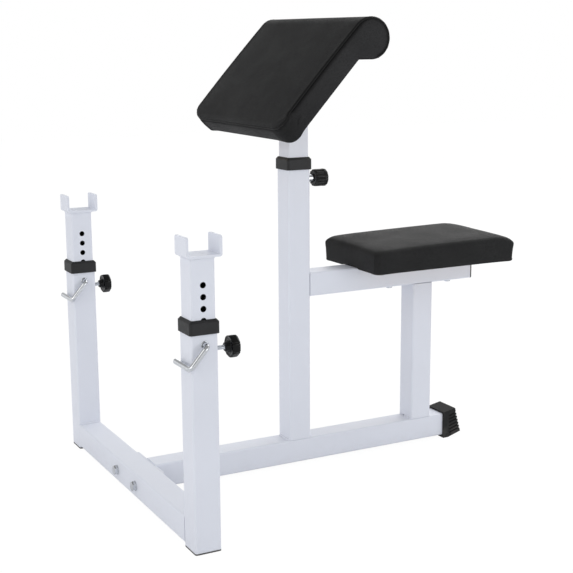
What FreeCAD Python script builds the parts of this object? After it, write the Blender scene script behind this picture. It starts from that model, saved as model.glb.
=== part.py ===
import FreeCAD, Part
import math
import os

import Sketcher
from FreeCAD import Placement, Rotation, Vector

# Preacher curl bench in millimetres, +Z up. X runs from the barbell rack at the front (-X) to the seat
# (+X), and Y across the bench, with the sitter's left at -Y. The origin is on the floor under the middle
# of the bench. Lengths "from the rack" start at the front faces of the two uprights.

doc = FreeCAD.newDocument("preacher_curl_bench")
nodes = []

DRIVING = (
    ("tube", 50, "outer square tube, across its flats"),
    ("tube_wall", 2, "wall of the outer tube"),
    ("tube_corner", 4, "outside corner radius of the outer tube"),
    ("post_gap", 0.5, "gap on each side between an inner post and its outer tube"),
    ("post_wall", 2, "wall of the inner posts"),
    ("post_corner", 3, "outside corner radius of the inner posts"),
    ("frame_gap", 6, "floor to the underside of the floor tubes"),
    ("fit_gap", 0.1, "gap on each side of a pushed-on or pushed-in piece"),
    ("slide_gap", 0.3, "gap on each side of a sliding piece"),
    # Barbell rack
    ("rack_width", 690, "over the outer faces of the uprights"),
    ("upright_length", 410, "outer tube of an upright"),
    ("plug_flange", 3, "flange of the end plugs"),
    ("plug_depth", 16, "depth of the end plugs in their tubes"),
    ("rack_post_length", 300, "inner post of the rack"),
    ("rack_post_rise", 113, "top of the inner post above the end of the upright"),
    ("rack_hole_pitch", 20.5, "pitch of the holes in the rack posts"),
    ("rack_hole_dia", 11, "holes in the rack posts"),
    ("rack_holes_up", 5, "holes above the lock pin"),
    ("rack_holes_down", 4, "holes below the lock pin"),
    ("pin_drop", 36, "lock pin below the end of the upright"),
    # Collars
    ("collar_wall", 3, "collar outside the outer tube"),
    ("collar_skirt", 18, "collar below the end of the outer tube"),
    ("collar_lip", 7, "collar above the end of the outer tube"),
    ("collar_corner", 5, "corner radius of the collar"),
    ("collar_chamfer", 4.5, "chamfer round the top of the collar"),
    # Bar cradles
    ("cradle_length", 66, "outside of the U, along the bench"),
    ("cradle_width", 50, "width of the U plate"),
    ("cradle_height", 36, "outside height of the U"),
    ("cradle_plate", 4, "thickness of the U plate"),
    ("cradle_bend", 5, "outside bend radius of the U plate"),
    ("cradle_corner", 5, "corner radius of the flanges"),
    ("cradle_setback", 3, "middle of the U behind the middle of the post"),
    # Lock pins
    ("pin_dia", 10, "rod of the lock pins"),
    ("pin_bend", 8, "bend radius on the middle line of the rod"),
    ("pin_tip", 1.2, "tip of the released pin inside the outer face of the upright"),
    ("pin_chamfer", 0.8, "chamfer of the rod's ends"),
    ("pin_standoff", 12.5, "handle of the released pin beside the upright"),
    ("handle_drop", 37, "tail of the pin below its hole"),
    ("tail_gap", 2, "tail of the pin in front of the upright"),
    ("tail_past", 4, "end of the tail past the inner face of the upright"),
    # Clamp knobs of the rack
    ("clamp_drop", 51, "clamp stud below the end of the upright"),
    ("stud_dia", 8, "threaded stud"),
    ("stud_tip", 0.3, "tip of the released stud behind the rack post"),
    ("thread_gap", 0.08, "radial gap in the thread"),
    ("clamp_standoff", 23.5, "grip of the right knob behind its upright"),
    ("clamp_backed_off", 7, "left knob screwed further out than the right one"),
    ("clamp_dia", 42, "grip over its lobes"),
    ("clamp_thick", 16, "thickness of the grip"),
    ("clamp_edge", 3, "bevel of the grip's edges"),
    ("clamp_lobes", 7, "lobes of the grip"),
    ("clamp_groove_dia", 5, "grooves between the lobes"),
    ("clamp_hub_dia", 18, "neck of the knob"),
    ("clamp_hub_length", 8, "length of the neck"),
    # Floor frame and its bolted joint
    ("column_from_rack", 356, "front face of the column from the rack"),
    ("seat_post_from_rack", 662, "front face of the seat post from the rack"),
    ("base_end_from_rack", 770, "rear end of the floor tube from the rack"),
    ("end_plate_width", 144, "end plate of the floor tube, across the bench"),
    ("end_plate_height", 46, "height of the end plate"),
    ("end_plate_thick", 4, "thickness of the end plate"),
    ("end_plate_corner", 4, "corner radius of the end plate"),
    ("joint_spacing", 102, "distance between the two joint bolts"),
    ("joint_bolt_dia", 10, "joint bolt"),
    ("joint_bolt_flats", 17, "head and nut across flats"),
    ("joint_bolt_head", 6.4, "height of the head"),
    ("joint_bolt_past", 3, "bolt past its nut"),
    ("joint_nut", 8, "height of the nut"),
    ("joint_washer_dia", 20, "washer of the joint bolt"),
    ("joint_washer", 2, "thickness of that washer"),
    ("bolt_gap", 0.5, "radial gap of a bolt in its hole"),
    ("vent_dia", 6, "weld vent at the foot of the seat post"),
    ("vent_shift", 8, "weld vent to the right of the middle"),
    # Rear foot cap
    ("cap_overlap", 24, "length of floor tube inside the cap"),
    ("cap_wall", 5, "side wall of the cap"),
    ("cap_front_height", 60, "height of the cap's front rim"),
    ("cap_rear_height", 66, "height of the cap's rear edge"),
    ("cap_top_depth", 31, "front rim to the rear upper edge"),
    ("cap_depth", 46, "front rim to the rear lower edge"),
    ("cap_flat", 12, "sole that stands on the floor"),
    ("cap_rise", 10, "rear lower edge above the floor"),
    ("cap_grooves", 6, "grooves of the tread"),
    ("cap_groove_pitch", 8, "pitch of the grooves"),
    ("cap_groove_low", 9, "lowest groove above the sole"),
    ("cap_groove_width", 3, "width of a groove"),
    ("cap_groove_depth", 1.6, "depth of a groove"),
    ("cap_band", 15, "plain band in front of the grooves"),
    # Column and arm pad post
    ("column_length", 588, "outer tube of the column"),
    ("pad_post_inside", 224, "inner post below the end of the column"),
    ("pad_rise", 168.5, "underside of the arm pad above the end of the column, on the post's axis"),
    ("pop_drop", 39, "spring plunger below the end of the column"),
    ("pad_hole_pitch", 25, "pitch of the holes in the arm pad post"),
    ("pad_hole_dia", 10, "holes in the arm pad post"),
    ("pad_holes_up", 2, "holes above the plunger"),
    ("pad_holes_down", 3, "holes below the plunger"),
    # Spring plunger
    ("barrel_dia", 16, "barrel of the plunger"),
    ("barrel_length", 26, "length of the barrel"),
    ("barrel_guide", 4, "guide at the front of the barrel"),
    ("barrel_cap", 3.5, "end wall of the barrel"),
    ("barrel_chamber_dia", 12.5, "spring chamber"),
    ("plunger_dia", 8, "nose of the plunger"),
    ("plunger_gap", 0.08, "radial gap of the plunger in its guide"),
    ("plunger_tip", 1, "tip of the pulled plunger inside the column's face"),
    ("plunger_flange_dia", 11.5, "flange that the spring pushes"),
    ("plunger_flange", 2, "thickness of the flange"),
    ("plunger_travel", 6, "travel of the plunger"),
    ("shank_dia", 6, "shank between the flange and the knob"),
    ("shank_grip", 12, "shank inside the knob"),
    ("spring_dia", 11, "outside of the spring"),
    ("spring_wire", 1.4, "wire of the spring"),
    ("pop_knob_dia", 36, "pull knob"),
    ("pop_knob_length", 28, "length of the pull knob"),
    ("pop_knob_overlap", 6, "pull knob over the barrel, plunger pulled"),
    ("pop_knob_dome", 3, "bevelled end of the pull knob"),
    ("pop_flutes", 12, "flutes of the pull knob"),
    ("pop_flute_dia", 6, "flute of the pull knob"),
    # Arm pad, along and square to its slope
    ("pad_angle", 48, "slope of the arm pad, degrees"),
    ("pad_width", 404, "arm pad across the bench"),
    ("pad_thick", 45, "arm pad with its board"),
    ("pad_low", 152.5, "lower edge from the post's axis, down the slope"),
    ("roll_up", 95.5, "middle of the roll from the post's axis, up the slope"),
    ("roll_rise", 5.5, "middle of the roll above the underside"),
    ("roll_dia", 78.5, "roll along the upper edge"),
    ("pad_edge", 9, "rounding of the pad's edges"),
    ("pad_corner", 32, "corner radius at the pad's lower edge"),
    ("pad_crown", 2.5, "crown of the arm pad"),
    ("board_thick", 12, "plywood boards"),
    ("board_inset", 14, "board inside the edges of its pad"),
    ("board_corner", 12, "corner radius of the boards"),
    ("pad_plate_length", 130, "mounting plate, along the slope"),
    ("pad_plate_width", 96, "mounting plate, across"),
    ("pad_plate_shift", 24, "middle of the mounting plate from the post's axis, down the slope"),
    ("pad_plate_thick", 4, "thickness of the mounting plate"),
    ("pad_plate_corner", 8, "corner radius of the mounting plate"),
    ("pad_bolts_along", 100, "bolts of the arm pad, along the slope"),
    ("pad_bolts_across", 72, "bolts of the arm pad, across"),
    # Seat
    ("rail_height", 362, "floor to the underside of the seat rail"),
    ("rail_length", 407, "seat rail behind the column"),
    ("seat_mid_from_rack", 692, "middle of the seat from the rack"),
    ("seat_length", 358, "seat pad along the bench"),
    ("seat_width", 221, "seat pad across the bench"),
    ("seat_thick", 51, "seat pad with its board, at its edges"),
    ("seat_crown", 4, "crown of the seat pad"),
    ("seat_edge", 11, "rounding of the seat pad's upper edges"),
    ("seat_tuck", 5, "sides drawn in at the underside"),
    ("seat_corner", 26, "corner radius of the seat pad"),
    ("seat_bolt_spacing", 153, "bolts of the seat, along the rail"),
    # Pad fasteners
    ("pad_bolt_dia", 8, "bolts of the pads"),
    ("pad_bolt_flats", 13, "their heads across flats"),
    ("pad_bolt_head", 5.3, "height of their heads"),
    ("pad_washer_dia", 16, "their washers"),
    ("pad_washer", 1.6, "thickness of their washers"),
    ("tee_flange_dia", 19, "flange of a tee nut"),
    ("tee_flange", 1.5, "thickness of that flange"),
    ("tee_barrel_dia", 10, "barrel of a tee nut"),
    ("tee_barrel", 9, "length of that barrel"),
)

# Places and sizes that follow from the driving dimensions
FOLLOWING = (
    ("post", "dims.tube - 2 * dims.tube_wall - 2 * dims.post_gap"),
    ("half_rack", "dims.rack_width / 2"),
    ("tail_reach", "dims.tail_gap + dims.pin_dia"),
    ("rack_x", "(tail_reach - dims.seat_mid_from_rack - dims.seat_length / 2) / 2"),
    ("upright_x", "rack_x + dims.tube / 2"),
    ("upright_y", "half_rack - dims.tube / 2"),
    ("upright_top", "dims.plug_flange + dims.upright_length"),
    ("upright_back", "rack_x + dims.tube"),
    ("rack_post_top", "upright_top + dims.rack_post_rise"),
    ("pin_z", "upright_top - dims.pin_drop"),
    ("clamp_z", "upright_top - dims.clamp_drop"),
    ("floor_mid", "dims.frame_gap + dims.tube / 2"),
    ("floor_top", "dims.frame_gap + dims.tube"),
    ("plate_back", "upright_back + dims.end_plate_thick"),
    ("column_x", "rack_x + dims.column_from_rack + dims.tube / 2"),
    ("column_back", "column_x + dims.tube / 2"),
    ("column_top", "floor_top + dims.column_length"),
    ("pop_z", "column_top - dims.pop_drop"),
    ("pad_z", "column_top + dims.pad_rise"),
    ("pad_mid", "(dims.roll_up - dims.pad_low) / 2"),
    ("seat_x", "rack_x + dims.seat_mid_from_rack"),
    ("seat_post_x", "rack_x + dims.seat_post_from_rack + dims.tube / 2"),
    ("rail_end", "column_back + dims.rail_length"),
    ("rail_mid", "dims.rail_height + dims.tube / 2"),
    ("rail_top", "dims.rail_height + dims.tube"),
    ("base_end", "rack_x + dims.base_end_from_rack"),
    ("cap_x", "base_end - dims.cap_overlap"),
    ("plug_size", "dims.tube - 2 * dims.tube_wall - 2 * dims.fit_gap"),
    ("plug_corner", "dims.tube_corner - dims.tube_wall"),
    ("tip_length", "dims.barrel_guide + dims.plunger_tip + dims.plunger_travel + dims.fit_gap"),
)

dims = doc.addObject("Spreadsheet::Sheet", "dims")
for row, (alias, value, words) in enumerate(DRIVING, start=1):
    dims.set(f"A{row}", words)
    dims.set(f"B{row}", str(value))
    dims.setAlias(f"B{row}", alias)

place = doc.addObject("Spreadsheet::Sheet", "place")
for row, (alias, formula) in enumerate(FOLLOWING, start=1):
    place.set(f"B{row}", "=" + formula)
    place.setAlias(f"B{row}", alias)
doc.recompute()


# Building blocks. Sizes and places are expressions on the two sheets, as text.

ORIGIN = ("0", "0", "0")
AXES = {
    "x": Rotation(Vector(0, 1, 0), 90),
    "-x": Rotation(Vector(0, 1, 0), -90),
    "y": Rotation(Vector(1, 0, 0), -90),
    "z": Rotation(),
    "-z": Rotation(Vector(1, 0, 0), 180),
    "profile": Rotation(Vector(1, 0, 0), 90),
    "fold": Rotation(Vector(0, 0, 1), Vector(1, 0, 0), Vector(0, 1, 0), "ZXY"),
}


def number(expression):
    """Value of an expression on the sheets."""
    return float(dims.evalExpression(expression))


def put(thing, axis, at):
    """Turn a thing's own Z to an axis and bind its place."""
    thing.Placement = Placement(Vector(), AXES[axis])
    for letter, expression in zip("xyz", at):
        thing.setExpression(f"Placement.Base.{letter}", expression)
    return thing


def node(thing, label):
    """Keep a finished sub-part under the name of its file."""
    thing.Label = label
    nodes.append(thing)
    return thing


def box(name, sizes, at):
    """Box with its lowest corner at a place."""
    thing = doc.addObject("Part::Box", name)
    for side, expression in zip(("Length", "Width", "Height"), sizes):
        thing.setExpression(side, expression)
    return put(thing, "z", at)


def cylinder(name, dia, length, axis="z", at=ORIGIN):
    """Cylinder from a place along an axis."""
    thing = doc.addObject("Part::Cylinder", name)
    thing.setExpression("Radius", f"({dia}) / 2")
    thing.setExpression("Height", length)
    return put(thing, axis, at)


def cone(name, dia, end_dia, length, axis="z", at=ORIGIN):
    """Cone from a place along an axis."""
    thing = doc.addObject("Part::Cone", name)
    thing.setExpression("Radius1", f"({dia}) / 2")
    thing.setExpression("Radius2", f"({end_dia}) / 2")
    thing.setExpression("Height", length)
    return put(thing, axis, at)


def fuse(name, things):
    """One solid from several."""
    thing = doc.addObject("Part::MultiFuse", name)
    thing.Shapes = things
    return thing


def group(name, things):
    """Separate solids that share a node."""
    thing = doc.addObject("Part::Compound", name)
    thing.Links = things
    return thing


def cut(name, base, tools):
    """Base less one or several tools."""
    thing = doc.addObject("Part::Cut", name)
    thing.Base = base
    thing.Tool = tools[0] if len(tools) == 1 else fuse(f"{name}_tools", tools)
    return thing


def common(name, base, tool):
    """What two things share."""
    thing = doc.addObject("Part::Common", name)
    thing.Base = base
    thing.Tool = tool
    return thing


def bind(sketch, constraint, expression):
    """Add a constraint whose value follows an expression."""
    index = sketch.addConstraint(constraint)
    sketch.renameConstraint(index, f"size_{index}")
    sketch.setExpression(f"Constraints.size_{index}", expression)


def new_sketch(body, name):
    """Sketch on the body's own XY plane."""
    sketch = body.newObject("Sketcher::SketchObject", name)
    plane = next(f for f in body.Origin.OriginFeatures if f.Role == "XY_Plane")
    sketch.AttachmentSupport = (plane, [""])
    sketch.MapMode = "FlatFace"
    return sketch


def draw_rounded(sketch, width, depth, radius):
    """Rounded rectangle about the sketch's origin."""
    half_w, half_d, r = number(width) / 2, number(depth) / 2, number(radius)
    in_w, in_d = half_w - r, half_d - r
    starts = ((-in_w, -half_d), (half_w, -in_d), (in_w, half_d), (-half_w, in_d))
    ends = ((in_w, -half_d), (half_w, in_d), (-in_w, half_d), (-half_w, -in_d))
    middles = ((in_w, -in_d), (in_w, in_d), (-in_w, in_d), (-in_w, -in_d))
    lines = []
    arcs = []
    for side in range(4):
        line = Part.LineSegment(Vector(*starts[side], 0), Vector(*ends[side], 0))
        lines.append(sketch.addGeometry(line, False))
        circle = Part.Circle(Vector(*middles[side], 0), Vector(0, 0, 1), r)
        turn = Part.ArcOfCircle(circle, (side - 1) * math.pi / 2, side * math.pi / 2)
        arcs.append(sketch.addGeometry(turn, False))
    for side in range(4):
        after = (side + 1) % 4
        sketch.addConstraint(Sketcher.Constraint("Tangent", lines[side], 2, arcs[side], 1))
        sketch.addConstraint(Sketcher.Constraint("Tangent", arcs[side], 2, lines[after], 1))
        level = "Horizontal" if side % 2 == 0 else "Vertical"
        sketch.addConstraint(Sketcher.Constraint(level, lines[side]))
        if side:
            sketch.addConstraint(Sketcher.Constraint("Equal", arcs[0], arcs[side]))
    sketch.addConstraint(Sketcher.Constraint("Symmetric", lines[0], 1, lines[2], 1, -1, 1))
    bind(sketch, Sketcher.Constraint("Radius", arcs[0], r), radius)
    bind(sketch, Sketcher.Constraint("DistanceX", lines[3], 1, lines[1], 1, 2 * half_w), width)
    bind(sketch, Sketcher.Constraint("DistanceY", lines[0], 1, lines[2], 1, 2 * half_d), depth)


def draw_outline(sketch, points):
    """Closed outline of straight lines through points in the sketch's first quarter."""
    places = [Vector(number(x), number(y), 0) for x, y in points]
    count = len(places)
    for index in range(count):
        sketch.addGeometry(Part.LineSegment(places[index], places[(index + 1) % count]), False)
    for index in range(count):
        sketch.addConstraint(Sketcher.Constraint("Coincident", index, 2, (index + 1) % count, 1))
    for index, (x, y) in enumerate(points):
        bind(sketch, Sketcher.Constraint("DistanceX", -1, 1, index, 1, places[index].x), x)
        bind(sketch, Sketcher.Constraint("DistanceY", -1, 1, index, 1, places[index].y), y)


def pad(body, sketch, length):
    """Pad a sketch along the body's own Z."""
    feature = body.newObject("PartDesign::Pad", f"{body.Name}_pad")
    feature.Profile = sketch
    feature.setExpression("Length", length)
    doc.recompute()
    return feature


def bar(name, width, depth, corner, length, axis="z", at=ORIGIN, wall=None):
    """Bar of rounded rectangular section, hollow where it has a wall."""
    body = doc.addObject("PartDesign::Body", name)
    sketch = new_sketch(body, f"{name}_section")
    draw_rounded(sketch, width, depth, corner)
    if wall:
        draw_rounded(sketch, f"{width} - 2 * ({wall})", f"{depth} - 2 * ({wall})", f"{corner} - ({wall})")
    pad(body, sketch, length)
    return put(body, axis, at)


def prism(name, points, length, at):
    """Outline in X and Z, padded across the bench from a place towards -Y."""
    body = doc.addObject("PartDesign::Body", name)
    sketch = new_sketch(body, f"{name}_outline")
    draw_outline(sketch, points)
    pad(body, sketch, length)
    return put(body, "profile", at)


def square_tube(name, length, axis, at):
    """Outer tube of the frame."""
    return bar(name, "dims.tube", "dims.tube", "dims.tube_corner", length, axis, at, "dims.tube_wall")


def hexagon(name, flats, height, axis="z"):
    """Hexagon with the bevelled end of a bolt head or nut, from the origin along an axis."""
    blank = doc.addObject("Part::Prism", f"{name}_blank")
    blank.Polygon = 6
    blank.setExpression("Circumradius", f"({flats}) / 2 / cos(30 deg)")
    blank.setExpression("Height", height)
    bevel = cone(f"{name}_bevel", f"{flats} + 2 * ({height}) * tan(60 deg)", flats, height)
    return put(common(name, blank, bevel), axis, ORIGIN)


def bolt(name, dia, flats, head, length, axis, at):
    """Hex bolt: its head ends at a place, and its shank runs on along the axis."""
    top = hexagon(f"{name}_head", flats, head, "-z")
    shank = cylinder(f"{name}_shank", dia, length)
    return put(fuse(name, [top, shank]), axis, at)


def ring(name, dia, bore, thick, axis, at):
    """Washer or sleeve from a place along an axis."""
    disc = cylinder(f"{name}_disc", dia, thick)
    hole = cylinder(f"{name}_bore", bore, thick)
    return put(cut(name, disc, [hole]), axis, at)


def nut(name, flats, bore, height, axis, at):
    """Hex nut from a place along an axis."""
    blank = hexagon(f"{name}_hex", flats, height)
    hole = cylinder(f"{name}_bore", bore, height)
    return put(cut(name, blank, [hole]), axis, at)


def tee_nut(name, axis, at):
    """Tee nut: its flange starts at a place, and its barrel points back along the axis."""
    flange = cylinder(f"{name}_flange", "dims.tee_flange_dia", "dims.tee_flange")
    start = ("0", "0", "-dims.tee_barrel")
    barrel = cylinder(f"{name}_barrel", "dims.tee_barrel_dia", "dims.tee_barrel", "z", start)
    thread = "dims.pad_bolt_dia + 2 * dims.thread_gap"
    bore = cylinder(f"{name}_bore", thread, "dims.tee_barrel + dims.tee_flange", "z", start)
    return put(cut(name, fuse(f"{name}_body", [flange, barrel]), [bore]), axis, at)


def end_plug(label, axis, at):
    """Square plug: its flange starts at a place, and the rest points along the axis into the tube."""
    outer = "dims.tube"
    inner = "place.plug_size"
    seat = ("0", "0", "dims.plug_flange")
    flange = bar(f"{label}_flange", outer, outer, "dims.tube_corner", "dims.plug_flange")
    core = bar(f"{label}_core", inner, inner, "place.plug_corner", "dims.plug_depth", "z", seat)
    return node(put(fuse(f"{label}_body", [flange, core]), axis, at), label)


def collar(label, at):
    """Black collar on the upper end of an outer tube, with a window for the inner post."""
    skin = "dims.tube + 2 * dims.collar_wall"
    height = "dims.collar_skirt + dims.collar_lip"
    foot = ("0", "0", "-dims.collar_skirt")
    shell = bar(f"{label}_shell", skin, skin, "dims.collar_corner", height, "z", foot)
    block = shell.Tip
    top = block.Shape.BoundBox.ZMax
    rim = [f"Edge{i}" for i, e in enumerate(block.Shape.Edges, start=1) if e.BoundBox.ZMin > top - 0.01]
    bevel = shell.newObject("PartDesign::Chamfer", f"{label}_bevel")
    bevel.Base = (block, rim)
    bevel.setExpression("Size", "dims.collar_chamfer")
    doc.recompute()
    seat = "dims.tube + 2 * dims.fit_gap"
    socket = bar(f"{label}_socket", seat, seat, "dims.tube_corner", "dims.collar_skirt", "z", foot)
    gap = "place.post + 2 * dims.slide_gap"
    window = bar(f"{label}_window", gap, gap, "dims.post_corner", height, "z", foot)
    return node(put(cut(f"{label}_body", shell, [socket, window]), "z", at), label)


def bent_rod(corners, dia, bend, chamfer):
    """Round rod along straight runs with a bend at each inner corner."""
    runs = []
    start = corners[0]
    for before, corner, after in zip(corners, corners[1:], corners[2:]):
        into = (corner - before).normalize()
        out = (after - corner).normalize()
        reach = bend * math.tan(into.getAngle(out) / 2)
        first = corner - into * reach
        last = corner + out * reach
        bisector = (out - into).normalize()
        middle = corner + bisector * (bend / math.cos(into.getAngle(out) / 2) - bend)
        runs.append(Part.LineSegment(start, first).toShape())
        runs.append(Part.Arc(first, middle, last).toShape())
        start = last
    runs.append(Part.LineSegment(start, corners[-1]).toShape())
    section = Part.Wire(Part.makeCircle(dia / 2, corners[0], corners[1] - corners[0]))
    rod = Part.Wire(runs).makePipeShell([section], True, False)
    ends = [face for face in rod.Faces if isinstance(face.Surface, Part.Plane)]
    return rod.makeChamfer(chamfer, [edge for face in ends for edge in face.Edges])


# Barbell rack

SIDES = (("left", "-1"), ("right", "1"))


def rack_side(side, sign):
    """Upright of one side with its telescoping post, cradle, lock pin and clamp knob."""
    x = "place.upright_x"
    y = f"{sign} * place.upright_y"
    near_face = f"{y} - dims.tube / 2"
    reach_in = "dims.tube / 2"

    tube = square_tube(f"{side}_upright_tube", "dims.upright_length", "z", (x, y, "dims.plug_flange"))
    pin_fit = "dims.pin_dia + 2 * dims.slide_gap"
    pin_hole = cylinder(f"{side}_pin_hole", pin_fit, reach_in, "y", (x, near_face, "place.pin_z"))
    stud_fit = "dims.stud_dia + 2 * dims.thread_gap"
    thread = cylinder(f"{side}_thread", stud_fit, reach_in, "x", (x, y, "place.clamp_z"))
    node(cut(f"{side}_upright_body", tube, [pin_hole, thread]), f"{side}_upright")
    end_plug(f"{side}_upright_plug", "z", (x, y, "0"))
    collar(f"{side}_upright_collar", (x, y, "place.upright_top"))

    post = bar(
        f"{side}_rack_post_tube",
        "place.post",
        "place.post",
        "dims.post_corner",
        "dims.rack_post_length",
        "z",
        (x, y, "place.rack_post_top - dims.rack_post_length"),
        "dims.post_wall",
    )
    holes = []
    for step in range(-int(number("dims.rack_holes_down")), int(number("dims.rack_holes_up")) + 1):
        level = f"place.pin_z + {step} * dims.rack_hole_pitch"
        name = f"{side}_rack_hole_{len(holes) + 1}"
        holes.append(cylinder(name, "dims.rack_hole_dia", reach_in, "y", (x, near_face, level)))
    node(cut(f"{side}_rack_post_body", post, holes), f"{side}_rack_post")

    middle = f"{x} + dims.cradle_setback"
    folded = bar(
        f"{side}_cradle_fold",
        "2 * dims.cradle_height",
        "dims.cradle_length",
        "dims.cradle_bend",
        "dims.cradle_width",
        "fold",
        (middle, f"{y} - dims.cradle_width / 2", "place.rack_post_top + dims.cradle_height"),
        "dims.cradle_plate",
    )
    outline = bar(
        f"{side}_cradle_outline",
        "2 * dims.cradle_height",
        "dims.cradle_width",
        "dims.cradle_corner",
        "dims.cradle_length",
        "x",
        (f"{middle} - dims.cradle_length / 2", y, "place.rack_post_top"),
    )
    node(common(f"{side}_cradle_body", folded, outline), f"{side}_bar_cradle")

    reach = number("place.tail_reach - dims.pin_dia / 2 + dims.tube / 2")
    beside = -number("dims.tube / 2 + dims.pin_standoff")
    drop = -number("dims.handle_drop")
    route = (
        Vector(0, number("dims.pin_tip - dims.tube / 2"), 0),
        Vector(0, beside, 0),
        Vector(-reach, beside, drop),
        Vector(-reach, number("dims.tube / 2 + dims.tail_past"), drop),
    )
    pin = doc.addObject("Part::Feature", f"{side}_lock_pin_rod")
    pin.Shape = bent_rod(route, number("dims.pin_dia"), number("dims.pin_bend"), number("dims.pin_chamfer"))
    pin.Placement = Placement(Vector(number(x), number(y), number("place.pin_z")), Rotation())
    node(pin, f"{side}_lock_pin")

    clamp_knob(side, y)


def clamp_knob(side, y):
    """Star knob and its threaded stud at the back of an upright."""
    tip = "place.upright_x + place.post / 2 + dims.stud_tip"
    front = "place.upright_back + dims.clamp_standoff"
    if side == "left":
        front += " + dims.clamp_backed_off"
    stud_end = f"{front} + dims.clamp_thick / 2"
    node(
        cylinder(f"{side}_stud", "dims.stud_dia", f"{stud_end} - ({tip})", "x", (tip, y, "place.clamp_z")),
        f"{side}_clamp_stud",
    )
    small = "dims.clamp_dia - 2 * dims.clamp_edge"
    edge = "dims.clamp_edge"
    wide = "dims.clamp_thick - 2 * dims.clamp_edge"
    grip = [
        cone(f"{side}_grip_front", small, "dims.clamp_dia", edge),
        cylinder(f"{side}_grip_rim", "dims.clamp_dia", wide, "z", ("0", "0", edge)),
        cone(f"{side}_grip_back", "dims.clamp_dia", small, edge, "z", ("0", "0", f"{edge} + {wide}")),
        cone(
            f"{side}_grip_neck",
            "dims.clamp_hub_dia",
            f"dims.clamp_hub_dia + {edge}",
            "dims.clamp_hub_length",
            "z",
            ("0", "0", "-dims.clamp_hub_length"),
        ),
    ]
    lobes = int(number("dims.clamp_lobes"))
    cuts = []
    for lobe in range(lobes):
        turn = f"{lobe} * 360 deg / dims.clamp_lobes"
        where = (f"dims.clamp_dia / 2 * cos({turn})", f"dims.clamp_dia / 2 * sin({turn})", "0")
        name = f"{side}_groove_{lobe + 1}"
        cuts.append(cylinder(name, "dims.clamp_groove_dia", "dims.clamp_thick", "z", where))
    cuts.append(
        cylinder(
            f"{side}_grip_bore",
            "dims.stud_dia + 2 * dims.fit_gap",
            "dims.clamp_hub_length + dims.clamp_thick / 2",
            "z",
            ("0", "0", "-dims.clamp_hub_length"),
        )
    )
    knob = cut(f"{side}_grip", fuse(f"{side}_grip_blank", grip), cuts)
    node(put(knob, "x", (front, y, "place.clamp_z")), f"{side}_clamp_knob")


# Floor frame

def floor_frame():
    """Crossbar, floor tube, their bolted joint and the rear foot."""
    joints = [f"{sign} * dims.joint_spacing / 2" for _, sign in SIDES]
    hole = "dims.joint_bolt_dia + 2 * dims.bolt_gap"
    through = "dims.tube + dims.end_plate_thick"

    crossbar = square_tube(
        "crossbar_tube",
        "dims.rack_width - 2 * dims.tube",
        "y",
        ("place.upright_x", "dims.tube - place.half_rack", "place.floor_mid"),
    )
    drilled = [
        cylinder(f"crossbar_hole_{i}", hole, through, "x", ("place.rack_x", y, "place.floor_mid"))
        for i, y in enumerate(joints, start=1)
    ]
    node(cut("crossbar_body", crossbar, drilled), "front_crossbar")

    plate = bar(
        "end_plate_blank",
        "dims.end_plate_height",
        "dims.end_plate_width",
        "dims.end_plate_corner",
        "dims.end_plate_thick",
        "x",
        ("place.upright_back", "0", "place.floor_mid"),
    )
    plate_holes = [
        cylinder(f"end_plate_hole_{i}", hole, through, "x", ("place.rack_x", y, "place.floor_mid"))
        for i, y in enumerate(joints, start=1)
    ]
    node(cut("end_plate_body", plate, plate_holes), "base_end_plate")
    start = ("place.plate_back", "0", "place.floor_mid")
    node(square_tube("floor_tube", "place.base_end - place.plate_back", "x", start), "base_tube")

    bolts = []
    washers = []
    nuts = []
    length = f"{through} + dims.joint_washer + dims.joint_nut + dims.joint_bolt_past"
    for i, y in enumerate(joints, start=1):
        face = ("place.rack_x - dims.joint_washer", y, "place.floor_mid")
        back = ("place.plate_back", y, "place.floor_mid")
        sizes = ("dims.joint_bolt_dia", "dims.joint_bolt_flats", "dims.joint_bolt_head", length)
        bolts.append(bolt(f"joint_bolt_{i}", *sizes, "x", face))
        washer_sizes = ("dims.joint_washer_dia", hole, "dims.joint_washer")
        washers.append(ring(f"joint_washer_{i}", *washer_sizes, "x", face))
        thread = "dims.joint_bolt_dia + 2 * dims.thread_gap"
        nuts.append(nut(f"joint_nut_{i}", "dims.joint_bolt_flats", thread, "dims.joint_nut", "x", back))
    node(group("joint_bolts", bolts), "crossbar_bolts")
    node(group("joint_washers", washers), "crossbar_washers")
    node(group("joint_nuts", nuts), "crossbar_nuts")
    rear_foot()


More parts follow.
